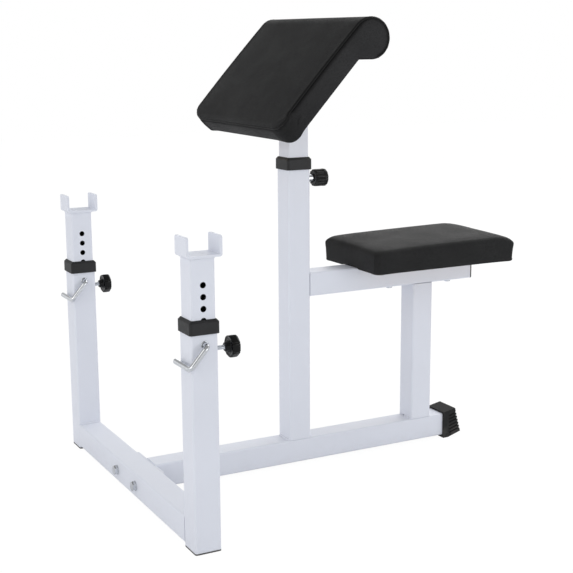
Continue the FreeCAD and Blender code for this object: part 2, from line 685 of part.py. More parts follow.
def rear_foot():
    """Black foot cap on the rear end of the floor tube, with a grooved tread."""
    width = "dims.tube + 2 * dims.cap_wall"
    side = ("place.cap_x", f"({width}) / 2", "0")

    def profile(name, inset, length, at):
        """Side outline of the cap, with its rear drawn in by an inset."""
        points = (
            ("0", "0"),
            ("dims.cap_flat", "0"),
            (f"dims.cap_depth - {inset}", "dims.cap_rise"),
            (f"dims.cap_top_depth - {inset}", "dims.cap_rear_height"),
            ("0", "dims.cap_front_height"),
        )
        return prism(name, points, length, at)

    body = profile("cap_block", "0", width, side)
    seat = "dims.tube + 2 * dims.fit_gap"
    mouth = ("place.cap_x", "0", "place.floor_mid")
    socket = bar("cap_socket", seat, seat, "dims.tube_corner", "dims.cap_overlap", "x", mouth)
    depth = "dims.cap_groove_depth"
    core_side = ("place.cap_x", f"({width}) / 2 - {depth}", "0")
    core = profile("cap_core", depth, f"{width} - 2 * {depth}", core_side)
    slope = "dims.cap_rise / (dims.cap_depth - dims.cap_flat)"
    slabs = []
    for step in range(int(number("dims.cap_grooves"))):
        low = f"dims.cap_groove_low + {step} * dims.cap_groove_pitch"
        high = f"{low} + {slope} * (dims.cap_depth - dims.cap_band)"
        points = (
            ("dims.cap_band", low),
            ("dims.cap_depth", high),
            ("dims.cap_depth", f"{high} + dims.cap_groove_width"),
            ("dims.cap_band", f"{low} + dims.cap_groove_width"),
        )
        slabs.append(prism(f"cap_groove_{step + 1}", points, width, side))
    tread = cut("cap_tread", group("cap_slabs", slabs), [core])
    node(cut("cap_body", body, [socket, tread]), "rear_foot_cap")


# Column and its spring plunger

def column():
    """Outer tube of the column with its collar, and the plunger that locks the arm pad post."""
    tube = square_tube("column_tube", "dims.column_length", "z", ("place.column_x", "0", "place.floor_top"))
    nose_fit = "dims.plunger_dia + 2 * dims.slide_gap"
    axis_start = ("place.column_x", "0", "place.pop_z")
    nose_hole = cylinder("column_hole", nose_fit, "dims.tube / 2", "x", axis_start)
    node(cut("column_body", tube, [nose_hole]), "main_column")
    collar("column_collar", ("place.column_x", "0", "place.column_top"))

    start = ("place.column_back", "0", "place.pop_z")
    shell = cylinder("barrel_shell", "dims.barrel_dia", "dims.barrel_length", "x", start)
    guide_fit = "dims.plunger_dia + 2 * dims.plunger_gap"
    guide = cylinder("barrel_bore", guide_fit, "dims.barrel_guide", "x", start)
    chamber = cylinder(
        "barrel_chamber",
        "dims.barrel_chamber_dia",
        "dims.barrel_length - dims.barrel_guide - dims.barrel_cap",
        "x",
        ("place.column_back + dims.barrel_guide", "0", "place.pop_z"),
    )
    outlet_fit = "dims.shank_dia + 2 * dims.slide_gap"
    outlet = cylinder("barrel_outlet", outlet_fit, "dims.barrel_length", "x", start)
    node(cut("barrel_body", shell, [guide, chamber, outlet]), "pop_pin_barrel")

    tip = "place.column_back - dims.plunger_tip"
    flange_x = f"{tip} + place.tip_length"
    spring_x = f"{flange_x} + dims.plunger_flange + dims.fit_gap"
    cap_x = "place.column_back + dims.barrel_length - dims.barrel_cap"
    knob_x = "place.column_back + dims.barrel_length - dims.pop_knob_overlap"
    recess = "dims.pop_knob_overlap + dims.plunger_travel + dims.bolt_gap"
    shank_x = f"{flange_x} + dims.plunger_flange"
    shank_length = f"{knob_x} + {recess} + dims.shank_grip - ({shank_x})"
    steps = (
        ("nose", "dims.plunger_dia", "place.tip_length", tip),
        ("ring", "dims.plunger_flange_dia", "dims.plunger_flange", flange_x),
        ("shank", "dims.shank_dia", shank_length, shank_x),
    )
    pieces = [
        cylinder(f"plunger_{name}", dia, length, "x", (x, "0", "place.pop_z"))
        for name, dia, length, x in steps
    ]
    node(fuse("plunger_body", pieces), "pop_pin_plunger")
    inside = "dims.spring_dia - 2 * dims.spring_wire"
    room = f"{cap_x} - dims.fit_gap - ({spring_x})"
    spring = ring("spring_body", "dims.spring_dia", inside, room, "x", (spring_x, "0", "place.pop_z"))
    node(spring, "pop_pin_spring")
    pull_knob(knob_x, recess)


def pull_knob(knob_x, recess):
    """Fluted pull knob, hollow at the front to pass over the barrel."""
    straight = "dims.pop_knob_length - dims.pop_knob_dome"
    narrow = "dims.pop_knob_dia - 2 * dims.pop_knob_dome"
    blank = [
        cylinder("pull_grip", "dims.pop_knob_dia", straight),
        cone("pull_end", "dims.pop_knob_dia", narrow, "dims.pop_knob_dome", "z", ("0", "0", straight)),
    ]
    cuts = []
    for flute in range(int(number("dims.pop_flutes"))):
        turn = f"{flute} * 360 deg / dims.pop_flutes"
        out = "(dims.pop_knob_dia + dims.pop_flute_dia / 2) / 2"
        where = (f"{out} * cos({turn})", f"{out} * sin({turn})", "0")
        name = f"pull_flute_{flute + 1}"
        cuts.append(cylinder(name, "dims.pop_flute_dia", "dims.pop_knob_length", "z", where))
    cuts.append(cylinder("pull_recess", "dims.barrel_dia + 4 * dims.slide_gap", recess))
    cuts.append(cylinder("pull_bore", "dims.shank_dia + 2 * dims.fit_gap", f"{recess} + dims.shank_grip"))
    knob = cut("pull_knob", fuse("pull_blank", blank), cuts)
    node(put(knob, "x", (knob_x, "0", "place.pop_z")), "pop_pin_knob")


# Arm pad. Its pieces are made flat, with X up the slope and Z out of the pad's face, and then tilted
# about the point where the post's axis meets the underside of the pad.

def tilt(thing):
    """Turn a flat-made piece of the arm pad to its slope."""
    thing.Placement = Placement(Vector(), Rotation(Vector(0, -1, 0), 1))
    thing.setExpression("Placement.Rotation.Angle", "dims.pad_angle")
    thing.setExpression("Placement.Base.x", "place.column_x")
    thing.setExpression("Placement.Base.z", "place.pad_z")
    return thing


def arm_pad_section(y, inset, trim, crown):
    """Outline of the arm pad and its roll at a place across the bench.

    The inset draws in the face and the roll, and the trim draws in the lower edge.
    """
    low = trim - number("dims.pad_low")
    top = number("dims.pad_thick") - inset
    edge = number("dims.pad_edge")
    under = inset / 3
    roll_u = number("dims.roll_up")
    roll_v = number("dims.roll_rise")
    r = number("dims.roll_dia") / 2 - inset
    meet = roll_u - math.sqrt(r * r - (roll_v - under) ** 2)

    def at(u, v):
        return Vector(u, y, v)

    def round_roll(degrees):
        turn = math.radians(degrees)
        return at(roll_u + r * math.cos(turn), roll_v + r * math.sin(turn))

    def arc(first, middle, last):
        return Part.Arc(first, middle, last).toShape()

    start_angle = math.degrees(math.atan2(under - roll_v, meet - roll_u)) % 360
    soft = edge * (1 - math.sqrt(0.5))
    half = (low + edge + roll_u) / 2
    crest = (top + roll_v + r) / 2 + crown
    corner_top = at(low + edge, top)
    corner_front = at(low, top - edge)
    return Part.Wire([
        Part.LineSegment(at(low + edge / 2, under), at(meet, under)).toShape(),
        arc(at(meet, under), round_roll((start_angle + 270) / 2), round_roll(270)),
        arc(round_roll(270), round_roll(315), round_roll(360)),
        arc(round_roll(360), round_roll(405), round_roll(450)),
        arc(round_roll(450), at(half, crest), corner_top),
        arc(corner_top, at(low + soft, top - soft), corner_front),
        Part.LineSegment(corner_front, at(low, under + edge / 2)).toShape(),
        arc(at(low, under + edge / 2), at(low + soft / 2, under + soft / 2), at(low + edge / 2, under)),
    ])


def arm_pad_cushion():
    """Crowned cushion, rounded at its lower corners and drawn in at both ends."""
    half = number("dims.pad_width") / 2
    edge = number("dims.pad_edge")
    corner = number("dims.pad_corner")
    crown = number("dims.pad_crown")
    rows = []
    for degrees, inset, rise in ((0, 0.6, 0.3), (30, 0.2, 0.35), (60, 0, 0.4), (90, 0, 0.5)):
        turn = math.radians(degrees)
        y = half - corner * (1 - math.cos(turn))
        rows.append((y, edge * inset, corner * (1 - math.sin(turn)), crown * rise))
    rows.append((half / 2, 0, 0, crown * 0.85))
    left = [(-y, inset, trim, rise) for y, inset, trim, rise in rows]
    right = list(reversed(rows))
    sections = [arm_pad_section(*row) for row in left + [(0, 0, 0, crown)] + right]
    cushion = doc.addObject("Part::Feature", "arm_pad_cushion")
    cushion.Shape = Part.makeLoft(sections, True, True)
    return cushion


def arm_pad():
    """Arm pad with its board and fasteners, and the post that carries it."""
    post_start = "place.column_top - dims.pad_post_inside"
    post = bar(
        "arm_pad_post_tube",
        "place.post",
        "place.post",
        "dims.post_corner",
        f"place.pad_z + place.post - ({post_start})",
        "z",
        ("place.column_x", "0", post_start),
        "dims.post_wall",
    )
    holes = []
    for step in range(-int(number("dims.pad_holes_down")), int(number("dims.pad_holes_up")) + 1):
        level = f"place.pop_z + {step} * dims.pad_hole_pitch"
        at = ("place.column_x", "0", level)
        name = f"arm_pad_hole_{len(holes) + 1}"
        holes.append(cylinder(name, "dims.pad_hole_dia", "dims.tube / 2", "x", at))
    above = tilt(group("above_pad_plate", [
        box(
            "above_pad_plate_block",
            ("4 * dims.tube", "2 * dims.tube", "4 * dims.tube"),
            ("-2 * dims.tube", "-dims.tube", "-dims.pad_plate_thick"),
        )
    ]))
    node(cut("arm_pad_post_body", post, [*holes, above]), "arm_pad_post")

    rows = [f"{sign} * dims.pad_bolts_along / 2 - dims.pad_plate_shift" for _, sign in SIDES]
    files = [f"{sign} * dims.pad_bolts_across / 2" for _, sign in SIDES]
    places = [(u, y) for u in rows for y in files]
    hole = "dims.pad_bolt_dia + 2 * dims.bolt_gap"
    under = "-dims.pad_plate_thick"
    plate = bar(
        "pad_plate_blank",
        "dims.pad_plate_length",
        "dims.pad_plate_width",
        "dims.pad_plate_corner",
        "dims.pad_plate_thick",
        "z",
        ("-dims.pad_plate_shift", "0", under),
    )
    plate_holes = [
        cylinder(f"pad_plate_hole_{i}", hole, "dims.pad_plate_thick", "z", (u, y, under))
        for i, (u, y) in enumerate(places, start=1)
    ]
    node(tilt(cut("pad_plate_body", plate, plate_holes)), "arm_pad_plate")

    sizes = ("dims.roll_up + dims.pad_low - 2 * dims.board_inset", "dims.pad_width - 2 * dims.board_inset")
    board, pocket, recesses = backed_board("arm_pad", sizes, "place.pad_mid", places)
    node(tilt(board), "arm_pad_board")
    cushion = cut("arm_pad_body", arm_pad_cushion(), [pocket, *recesses])
    cushion.Refine = False
    node(tilt(cushion), "arm_pad")

    bolts, washers, tees = pad_fasteners("arm_pad", places, "dims.pad_plate_thick", under, "0")
    node(tilt(group("arm_pad_bolt_group", bolts)), "arm_pad_bolts")
    node(tilt(group("arm_pad_washer_group", washers)), "arm_pad_washers")
    node(tilt(group("arm_pad_tee_group", tees)), "arm_pad_tee_nuts")


def backed_board(name, sizes, middle, places, level="0"):
    """Plywood board of a pad, its pocket in the cushion, and the cushion's room for the tee nuts."""
    length, width = sizes
    thick = "dims.board_thick"
    tee_fit = "dims.tee_barrel_dia + 2 * dims.fit_gap"
    holes = [
        cylinder(f"{name}_board_hole_{i}", tee_fit, thick, "z", (x, y, level))
        for i, (x, y) in enumerate(places, start=1)
    ]
    start = (middle, "0", level)
    blank = bar(f"{name}_board_blank", length, width, "dims.board_corner", thick, "z", start)
    board = cut(f"{name}_board_body", blank, holes)
    room = [f"{size} + 2 * dims.fit_gap" for size in sizes]
    deep = f"{thick} + dims.fit_gap"
    under = (middle, "0", f"{level} - dims.fit_gap")
    pocket = bar(f"{name}_pocket", *room, "dims.board_corner + dims.fit_gap", deep, "z", under)
    recesses = [
        cylinder(
            f"{name}_recess_{i}",
            "dims.tee_flange_dia + 2 * dims.bolt_gap",
            f"{thick} / 2 + 2 * dims.tee_flange + dims.bolt_gap",
            "z",
            (x, y, f"{level} + {thick} / 2"),
        )
        for i, (x, y) in enumerate(places, start=1)
    ]
    return board, pocket, recesses


def pad_fasteners(name, places, clamped, seat, level):
    """Bolts, washers and tee nuts that hold a pad's board to what it is clamped on."""
    bolts = []
    washers = []
    tees = []
    length = f"dims.pad_washer + {clamped} + dims.board_thick + dims.tee_flange"
    hole = "dims.pad_bolt_dia + 2 * dims.bolt_gap"
    for i, (x, y) in enumerate(places, start=1):
        head = (x, y, f"{seat} - dims.pad_washer")
        sizes = ("dims.pad_bolt_dia", "dims.pad_bolt_flats", "dims.pad_bolt_head", length)
        bolts.append(bolt(f"{name}_bolt_{i}", *sizes, "z", head))
        washer_sizes = ("dims.pad_washer_dia", hole, "dims.pad_washer")
        washers.append(ring(f"{name}_washer_{i}", *washer_sizes, "z", head))
        tees.append(tee_nut(f"{name}_tee_{i}", "z", (x, y, f"{level} + dims.board_thick")))
    return bolts, washers, tees


# Seat

def seat_section(x, inset, drop, crown):
    """Outline of the seat pad at a place along the bench, narrower by an inset and lower by a drop."""
    half = number("dims.seat_width") / 2 - inset
    low = number("place.rail_top")
    high = low + number("dims.seat_thick") - drop
    edge = number("dims.seat_edge")
    tuck = number("dims.seat_tuck")
    soft = edge * (1 - math.sqrt(0.5))
    belly = (low + high - edge) / 2

    def at(y, z):
        return Vector(x, y, z)

    def arc(first, middle, last):
        return Part.Arc(first, middle, last).toShape()

    def side(sign):
        """Corners of one side: underside, widest place, shoulder and edge of the top."""
        return (
            at(sign * (half - tuck), low),
            at(sign * half, belly),
            at(sign * (half - tuck / 3), high - edge),
            at(sign * (half - tuck / 3 - soft), high - soft),
            at(sign * (half - tuck / 3 - edge), high),
        )

    left = side(-1)
    right = side(1)
    return Part.Wire([
        Part.LineSegment(left[0], right[0]).toShape(),
        arc(right[0], right[1], right[2]),
        arc(right[2], right[3], right[4]),
        arc(right[4], at(0, high + crown), left[4]),
        arc(left[4], left[3], left[2]),
        arc(left[2], left[1], left[0]),
    ])


def seat_cushion():
    """Crowned seat cushion, rounded at its corners and drawn in at the underside."""
    middle = number("place.seat_x")
    half = number("dims.seat_length") / 2
    corner = number("dims.seat_corner")
    edge = number("dims.seat_edge")
    crown = number("dims.seat_crown")
    rows = []
    for degrees, drop, rise in ((0, 1, 0.4), (30, 0.35, 0.55), (60, 0.1, 0.7), (90, 0, 0.8)):
        turn = math.radians(degrees)
        step = corner * (1 - math.cos(turn))
        rows.append((half - step, corner * (1 - math.sin(turn)), edge * drop, crown * rise))
    front = [(middle - along, inset, drop, rise) for along, inset, drop, rise in rows]
    back = [(middle + along, inset, drop, rise) for along, inset, drop, rise in reversed(rows)]
    sections = [seat_section(*row) for row in front + [(middle, 0, 0, crown)] + back]
    cushion = doc.addObject("Part::Feature", "seat_cushion")
    cushion.Shape = Part.makeLoft(sections, True, True)
    return cushion


def seat():
    """Seat rail, its post, and the seat pad bolted on through the rail."""
    places = [(f"place.seat_x + {sign} * dims.seat_bolt_spacing / 2", "0") for _, sign in SIDES]
    hole = "dims.pad_bolt_dia + 2 * dims.bolt_gap"
    rail = square_tube("rail_tube", "dims.rail_length", "x", ("place.column_back", "0", "place.rail_mid"))
    rail_holes = [
        cylinder(f"rail_hole_{i}", hole, "dims.tube", "z", (x, y, "dims.rail_height"))
        for i, (x, y) in enumerate(places, start=1)
    ]
    node(cut("rail_body", rail, rail_holes), "seat_rail")
    end_plug("seat_rail_plug", "-x", ("place.rail_end + dims.plug_flange", "0", "place.rail_mid"))

    foot = ("place.seat_post_x", "0", "place.floor_top")
    support = square_tube("seat_post_tube", "dims.rail_height - place.floor_top", "z", foot)
    vent = cylinder(
        "seat_post_vent",
        "dims.vent_dia",
        "dims.tube / 2",
        "x",
        ("place.seat_post_x - dims.tube / 2", "dims.vent_shift", "place.floor_top"),
    )
    node(cut("seat_post_body", support, [vent]), "seat_post")

    sizes = ("dims.seat_length - 2 * dims.board_inset", "dims.seat_width - 2 * dims.board_inset")
    board, pocket, recesses = backed_board("seat", sizes, "place.seat_x", places, "place.rail_top")
    node(board, "seat_board")
    node(cut("seat_pad_body", seat_cushion(), [pocket, *recesses]), "seat_pad")
    bolts, washers, tees = pad_fasteners("seat", places, "dims.tube", "dims.rail_height", "place.rail_top")
    node(group("seat_bolt_group", bolts), "seat_bolts")
    node(group("seat_washer_group", washers), "seat_washers")
    node(group("seat_tee_group", tees), "seat_tee_nuts")


for side_name, side_sign in SIDES:
    rack_side(side_name, side_sign)
floor_frame()
column()
arm_pad()
seat()
doc.recompute()

# Every object has to be sound before anything is written.
for thing in doc.Objects:
    if "Invalid" in thing.State or "Error" in thing.State:
        raise RuntimeError(f"{thing.Label} is {thing.State}")
for thing in nodes:
    if thing.Shape.isNull() or not thing.Shape.isValid() or not thing.Shape.Solids:
        raise RuntimeError(f"{thing.Label} has no sound solid")

os.makedirs("parts", exist_ok=True)
for thing in nodes:
    thing.Shape.exportStep(os.path.join("parts", f"{thing.Label}.step"))
print(f"{len(nodes)} sub-parts written")
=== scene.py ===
"""Preacher curl bench: finishes, cushions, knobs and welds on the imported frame."""

from __future__ import annotations

import logging
import math
from dataclasses import dataclass
from enum import Enum
from typing import Iterable, Sequence

import bmesh
import bpy
from mathutils import Matrix, Vector
from mathutils.bvhtree import BVHTree
from mathutils.kdtree import KDTree

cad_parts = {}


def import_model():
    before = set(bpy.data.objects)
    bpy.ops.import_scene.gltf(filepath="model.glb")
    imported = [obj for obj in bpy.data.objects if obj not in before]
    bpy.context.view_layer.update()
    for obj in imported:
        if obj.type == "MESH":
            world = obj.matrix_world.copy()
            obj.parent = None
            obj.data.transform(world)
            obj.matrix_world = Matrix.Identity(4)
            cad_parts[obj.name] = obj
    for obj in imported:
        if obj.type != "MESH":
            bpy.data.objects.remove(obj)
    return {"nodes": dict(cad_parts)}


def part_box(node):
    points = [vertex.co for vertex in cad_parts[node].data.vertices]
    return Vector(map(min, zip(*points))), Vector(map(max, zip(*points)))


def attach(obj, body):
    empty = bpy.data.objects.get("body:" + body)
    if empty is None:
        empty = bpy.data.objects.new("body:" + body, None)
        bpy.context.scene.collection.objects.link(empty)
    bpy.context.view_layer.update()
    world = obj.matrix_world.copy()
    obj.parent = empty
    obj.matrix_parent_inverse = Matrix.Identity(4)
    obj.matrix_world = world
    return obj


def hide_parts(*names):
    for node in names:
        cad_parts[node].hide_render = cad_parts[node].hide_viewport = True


LOG = logging.getLogger("curl_bench")
FOLD_MARK = "fold"
X_AXIS, Y_AXIS, Z_AXIS = Vector((1, 0, 0)), Vector((0, 1, 0)), Vector((0, 0, 1))
QUARTERS = ((1, 1), (-1, 1), (-1, -1), (1, -1))
Pair = tuple[float, float]
Triple = tuple[float, float, float]
Colour = Triple
Ring = list[Vector]


class Side(Enum):
    """The two ends of the rack, named for the person on the seat."""

    LEFT = "left"
    RIGHT = "right"

    @property
    def sign(self) -> int:
        """Direction of this side along Y."""
        return -1 if self is Side.LEFT else 1


class Edge(Enum):
    """Widths of the broken edges in metres, by how a piece was made."""

    NONE = 0.0
    SMALL_STEEL = 0.0003
    BENT_ROD = 0.0004
    BOLT_HEAD = 0.0005
    SAWN = 0.0006
    MOULDED = 0.0008
    COLLAR = 0.0009


class Wire:
    """A node's output that takes part in expressions, each of which adds a Math node."""

    def __init__(self, sheet: NodeSheet, socket: bpy.types.NodeSocket) -> None:
        """Keeps the output and the sheet that it is drawn on."""
        self.sheet = sheet
        self.socket = socket

    def _math(self, operation: str, first: Wire | float, second: Wire | float) -> Wire:
        """Adds one Math node.

        Args:
            operation: Name of the node's operation.
            first: Left-hand value.
            second: Right-hand value.

        Returns:
            The node's result.
        """
        return self.sheet.add("ShaderNodeMath", {"operation": operation}, {0: first, 1: second})

    def __add__(self, other: Wire | float) -> Wire:
        """Sum."""
        return self._math("ADD", self, other)

    def __radd__(self, other: float) -> Wire:
        """Sum with a number on the left."""
        return self._math("ADD", other, self)

    def __sub__(self, other: Wire | float) -> Wire:
        """Difference."""
        return self._math("SUBTRACT", self, other)

    def __rsub__(self, other: float) -> Wire:
        """Difference from a number on the left."""
        return self._math("SUBTRACT", other, self)

    def __mul__(self, other: Wire | float) -> Wire:
        """Product."""
        return self._math("MULTIPLY", self, other)

    def __rmul__(self, other: float) -> Wire:
        """Product with a number on the left."""
        return self._math("MULTIPLY", other, self)

    def __abs__(self) -> Wire:
        """Size without the sign."""
        return self._math("ABSOLUTE", self, 0.0)

    def most(self, other: Wire | float) -> Wire:
        """The larger of two values."""
        return self._math("MAXIMUM", self, other)

    def least(self, other: Wire | float) -> Wire:
        """The smaller of two values."""
        return self._math("MINIMUM", self, other)

    def above(self, level: float, soft: float) -> Wire:
        """Goes from 0 to 1 as the value passes a level.

        Args:
            level: Value at which the result is a half.
            soft: Width of the passage.

        Returns:
            A mask between 0 and 1.
        """
        ends = {0: self, 1: level - soft / 2, 2: level + soft / 2}
        return self.sheet.add("ShaderNodeMapRange", {"interpolation_type": "SMOOTHSTEP"}, ends)


class NodeSheet:
    """One material or world node tree, with the calls that draw it."""

    def __init__(self, tree: bpy.types.ShaderNodeTree) -> None:
        """Starts from an empty tree."""
        self.tree = tree
        tree.nodes.clear()

    def add(
        self,
        kind: str,
        settings: dict[str, object] | None = None,
        values: dict[int | str, object] | None = None,
        output: int = 0,
    ) -> Wire:
        """Adds a node, sets it up, then fills or links its sockets.

        Args:
            kind: The node's type.
            settings: Properties to set first.
            values: Values or wires by socket name or number.
            output: Number of the output that is handed back.

        Returns:
            The chosen output.
        """
        node = self.tree.nodes.new(kind)
        for name, setting in (settings or {}).items():
            setattr(node, name, setting)
        for key, value in (values or {}).items():
            socket = node.inputs[key]
            if isinstance(value, Wire):
                self.tree.links.new(value.socket, socket)
            elif isinstance(value, tuple) and socket.type == "RGBA" and len(value) == 3:
                socket.default_value = (*value, 1.0)
            else:
                socket.default_value = value
        return Wire(self, node.outputs[output] if node.outputs else None)

    def place(self) -> Wire:
        """Place on the piece in metres, which stays with the piece when it moves."""
        return self.add("ShaderNodeTexCoord", output=3)

    def noise(
        self, place: Wire, size: float, detail: float = 2.0, harsh: float = 0.5, output: int = 0
    ) -> Wire:
        """Cloudy pattern.

        Args:
            place: Where it is read.
            size: Size of its blots in metres.
            detail: Number of finer layers.
            harsh: How strong the finer layers are.
            output: 0 for a value, 1 for a colour.

        Returns:
            A value or a colour around a half.
        """
        values = {"Vector": place, "Scale": 1.0 / size, "Detail": detail, "Roughness": harsh}
        return self.add("ShaderNodeTexNoise", None, values, output)

    def cells(self, place: Wire, size: float, feature: str = "DISTANCE_TO_EDGE") -> Wire:
        """Pattern of closed cells.

        Args:
            place: Where it is read.
            size: Size of a cell in metres.
            feature: What is measured in a cell.

        Returns:
            The measure, in cells.
        """
        values = {"Vector": place, "Scale": 1.0 / size}
        return self.add("ShaderNodeTexVoronoi", {"feature": feature}, values)

    def stretched(self, place: Wire, factors: Triple) -> Wire:
        """Place with its three axes scaled."""
        return self.add("ShaderNodeVectorMath", {"operation": "MULTIPLY"}, {0: place, 1: factors})

    def shifted(self, place: Wire, colour: Wire, amount: float) -> Wire:
        """Place pushed about by a coloured noise.

        Args:
            place: Where it is read.
            colour: Colour output of a noise.
            amount: Largest push in metres.

        Returns:
            The new place.
        """
        settings = {"operation": "MULTIPLY_ADD"}
        return self.add("ShaderNodeVectorMath", settings, {0: colour, 1: (amount,) * 3, 2: place})

    def blend(self, factor: Wire, first: Wire | Colour, second: Wire | Colour) -> Wire:
        """Colour between two others.

        Args:
            factor: 0 for the first, 1 for the second.
            first: Colour at 0.
            second: Colour at 1.

        Returns:
            The mixed colour.
        """
        values = {0: factor, 6: first, 7: second}
        return self.add("ShaderNodeMix", {"data_type": "RGBA"}, values, output=2)

    def axis(self, place: Wire, number: int) -> Wire:
        """One coordinate of a place."""
        return self.add("ShaderNodeSeparateXYZ", None, {0: place}, output=number)

    def bump(self, height: Wire, depth: float, strength: float, below: Wire | None = None) -> Wire:
        """Relief in the surface.

        Args:
            height: Height between 0 and 1.
            depth: Real height of 1, in metres.
            strength: Share of the relief that is used.
            below: A coarser relief that this one lies on.

        Returns:
            The surface's normal.
        """
        values: dict[int | str, object] = {"Height": height, "Distance": depth, "Strength": strength}
        if below is not None:
            values["Normal"] = below
        return self.add("ShaderNodeBump", None, values)

    def close(self, **sockets: object) -> None:
        """Adds the surface shader and the output.

        Args:
            sockets: Values or wires of the shader, by name with _ for a blank.
        """
        values = {name.replace("_", " "): value for name, value in sockets.items()}
        shader = self.add("ShaderNodeBsdfPrincipled", None, values)
        self.add("ShaderNodeOutputMaterial", None, {"Surface": shader})


@dataclass(frozen=True)
class Finish:
    """A finish that is drawn once and then shared by its pieces."""

    name: str
    slot: str
    colour: Colour
    gloss: float

    def material(self) -> bpy.types.Material:
        """Finds the finish's material, or draws it at its first use.

        Returns:
            The material.
        """
        found = bpy.data.materials.get(self.name)
        if found is None:
            found = bpy.data.materials.new(self.name)
            found.use_nodes = True
            found.diffuse_color = (*self.colour, 1.0)
            self.draw(NodeSheet(found.node_tree))
        return found

    def draw(self, sheet: NodeSheet) -> None:
        """Draws the nodes on an empty sheet."""
        raise NotImplementedError

    def shade(self, amount: float) -> Colour:
        """The finish's colour times an amount."""
        red, green, blue = (part * amount for part in self.colour)
        return red, green, blue


@dataclass(frozen=True)
class PowderCoat(Finish):
    """Baked powder paint on steel: even colour, a fine orange peel and a satin gloss."""

    peel: float = 0.0016
    peel_depth: float = 0.00012
    film_size: float = 0.11
    dust: Colour = (0.42, 0.40, 0.37)
    dust_size: float = 0.02
    dust_height: float = 0.03

    def draw(self, sheet: NodeSheet) -> None:
        """Draws cloudy film thickness, orange peel and a little floor dust.

        Args:
            sheet: The finish's empty sheet.
        """
        place = sheet.place()
        film = sheet.noise(place, self.film_size, 3.0, 0.55)
        peel = sheet.noise(place, self.peel, 1.0)
        grit = sheet.noise(place, self.peel / 4, 0.0)
        paint = sheet.blend(film.above(0.5, 0.5), self.shade(0.988), self.shade(1.010))
        low = 1.0 - sheet.axis(place, 2).above(self.dust_height, 0.06)
        dust = sheet.noise(place, self.dust_size, 4.0, 0.7).above(0.55, 0.3) * low
        colour = self.paint_inner_shade(sheet, place, sheet.blend(dust * 0.06, paint, self.dust))
        rough = film * 0.06 + (1.0 - peel) * 0.06 + dust * 0.1 + (self.gloss - 0.06)
        coarse = sheet.bump(peel, self.peel_depth, 0.55)
        sheet.close(
            Base_Color=colour,
            Roughness=rough,
            Normal=sheet.bump(grit, self.peel_depth / 5, 0.4, coarse),
            Specular_IOR_Level=0.4,
        )

    def paint_inner_shade(self, sheet: NodeSheet, place: Wire, colour: Wire) -> Wire:
        """The paint's colour, to which a drilled tube adds painted shade on its inside."""
        return colour


@dataclass(frozen=True)
class PostCoatWithInnerShade(PowderCoat):
    """The same paint on a drilled square post, with near-black painted shade inside it."""

    middle: Pair = (0.0, 0.0)
    inner: float = 0.0214
    passage: float = 0.0010
    # near-black painted shade for the post's inside, where its holes show
    inside: Colour = (0.0012, 0.0013, 0.0016)

    def paint_inner_shade(self, sheet: NodeSheet, place: Wire, colour: Wire) -> Wire:
        """Paints near-black shade on what lies further in than the post's wall.

        Args:
            sheet: The finish's sheet.
            place: Where it is read.
            colour: The paint's colour.

        Returns:
            The paint's colour outside, and the painted shade inside.
        """
        off_x = abs(sheet.axis(place, 0) - self.middle[0])
        off_y = abs(sheet.axis(place, 1) - self.middle[1])
        # 1 on the paint, 0 on the inside, which takes the painted shade
        painted = off_x.most(off_y).above(self.inner, self.passage)
        return sheet.blend(painted, self.inside, colour)


@dataclass(frozen=True)
class Vinyl(Finish):
    """Embossed upholstery vinyl: pebbled grain, faint pores, tired along the grain's tops."""

    shine: float = 0.08
    grain: float = 0.0017
    grain_depth: float = 0.00030
    drift: float = 0.0016
    drift_size: float = 1 / 260
    handled_size: float = 0.075

    def draw(self, sheet: NodeSheet) -> None:
        """Draws a pebbled grain with pores, uneven sheen and shade in the folds.

        Args:
            sheet: The finish's empty sheet.
        """
        place = sheet.place()
        fold = sheet.add("ShaderNodeAttribute", {"attribute_name": FOLD_MARK}, output=2)
        bent = sheet.shifted(place, sheet.noise(place, self.drift_size, output=1), self.drift)
        pebble = sheet.cells(bent, self.grain).above(0.11, 0.20)
        pores = sheet.noise(place, self.grain / 5, 1.0)
        handled = sheet.noise(place, self.handled_size, 3.0, 0.6).above(0.52, 0.4)
        skin = sheet.blend(handled, self.shade(0.90), self.shade(1.12))
        colour = sheet.blend(pebble, self.shade(0.55), skin)
        rough = (1.0 - pebble) * 0.16 + handled * -0.06 + (pores * 0.10 + self.gloss) + fold * 0.25
        coarse = sheet.bump(pebble, self.grain_depth, 0.42)
        sheet.close(
            Base_Color=sheet.blend(fold, colour, self.shade(0.08)),
            Roughness=rough,
            Normal=sheet.bump(pores, self.grain_depth / 6, 0.3, coarse),
            Specular_IOR_Level=self.shine,
        )


@dataclass(frozen=True)
class MouldedPlastic(Finish):
    """Injection-moulded plastic with a spark-eroded or polished skin."""

    shine: float = 0.30
    texture: float = 0.0009
    texture_depth: float = 0.00008
    rubbed: float = 0.12
    rubbed_size: float = 0.012
    flow_size: float = 0.028

    def draw(self, sheet: NodeSheet) -> None:
        """Draws the mould's fine texture, flow marks and rubbed places.

        Args:
            sheet: The finish's empty sheet.
        """
        place = sheet.place()
        spark = sheet.noise(place, self.texture, 2.0, 0.6)
        flow = sheet.noise(sheet.stretched(place, (1.0, 1.0, 0.35)), self.flow_size, 3.0, 0.55)
        rubbed = sheet.noise(place, self.rubbed_size, 4.0, 0.65).above(0.60, 0.25)
        skin = sheet.blend(flow.above(0.5, 0.5), self.shade(0.88), self.shade(1.12))
        colour = sheet.blend(rubbed * self.rubbed, skin, self.shade(2.1))
        sheet.close(
            Base_Color=colour,
            Roughness=spark * 0.14 + rubbed * -0.07 + (flow * 0.06 + (self.gloss - 0.08)),
            Normal=sheet.bump(spark, self.texture_depth, 0.5),
            Specular_IOR_Level=self.shine,
        )


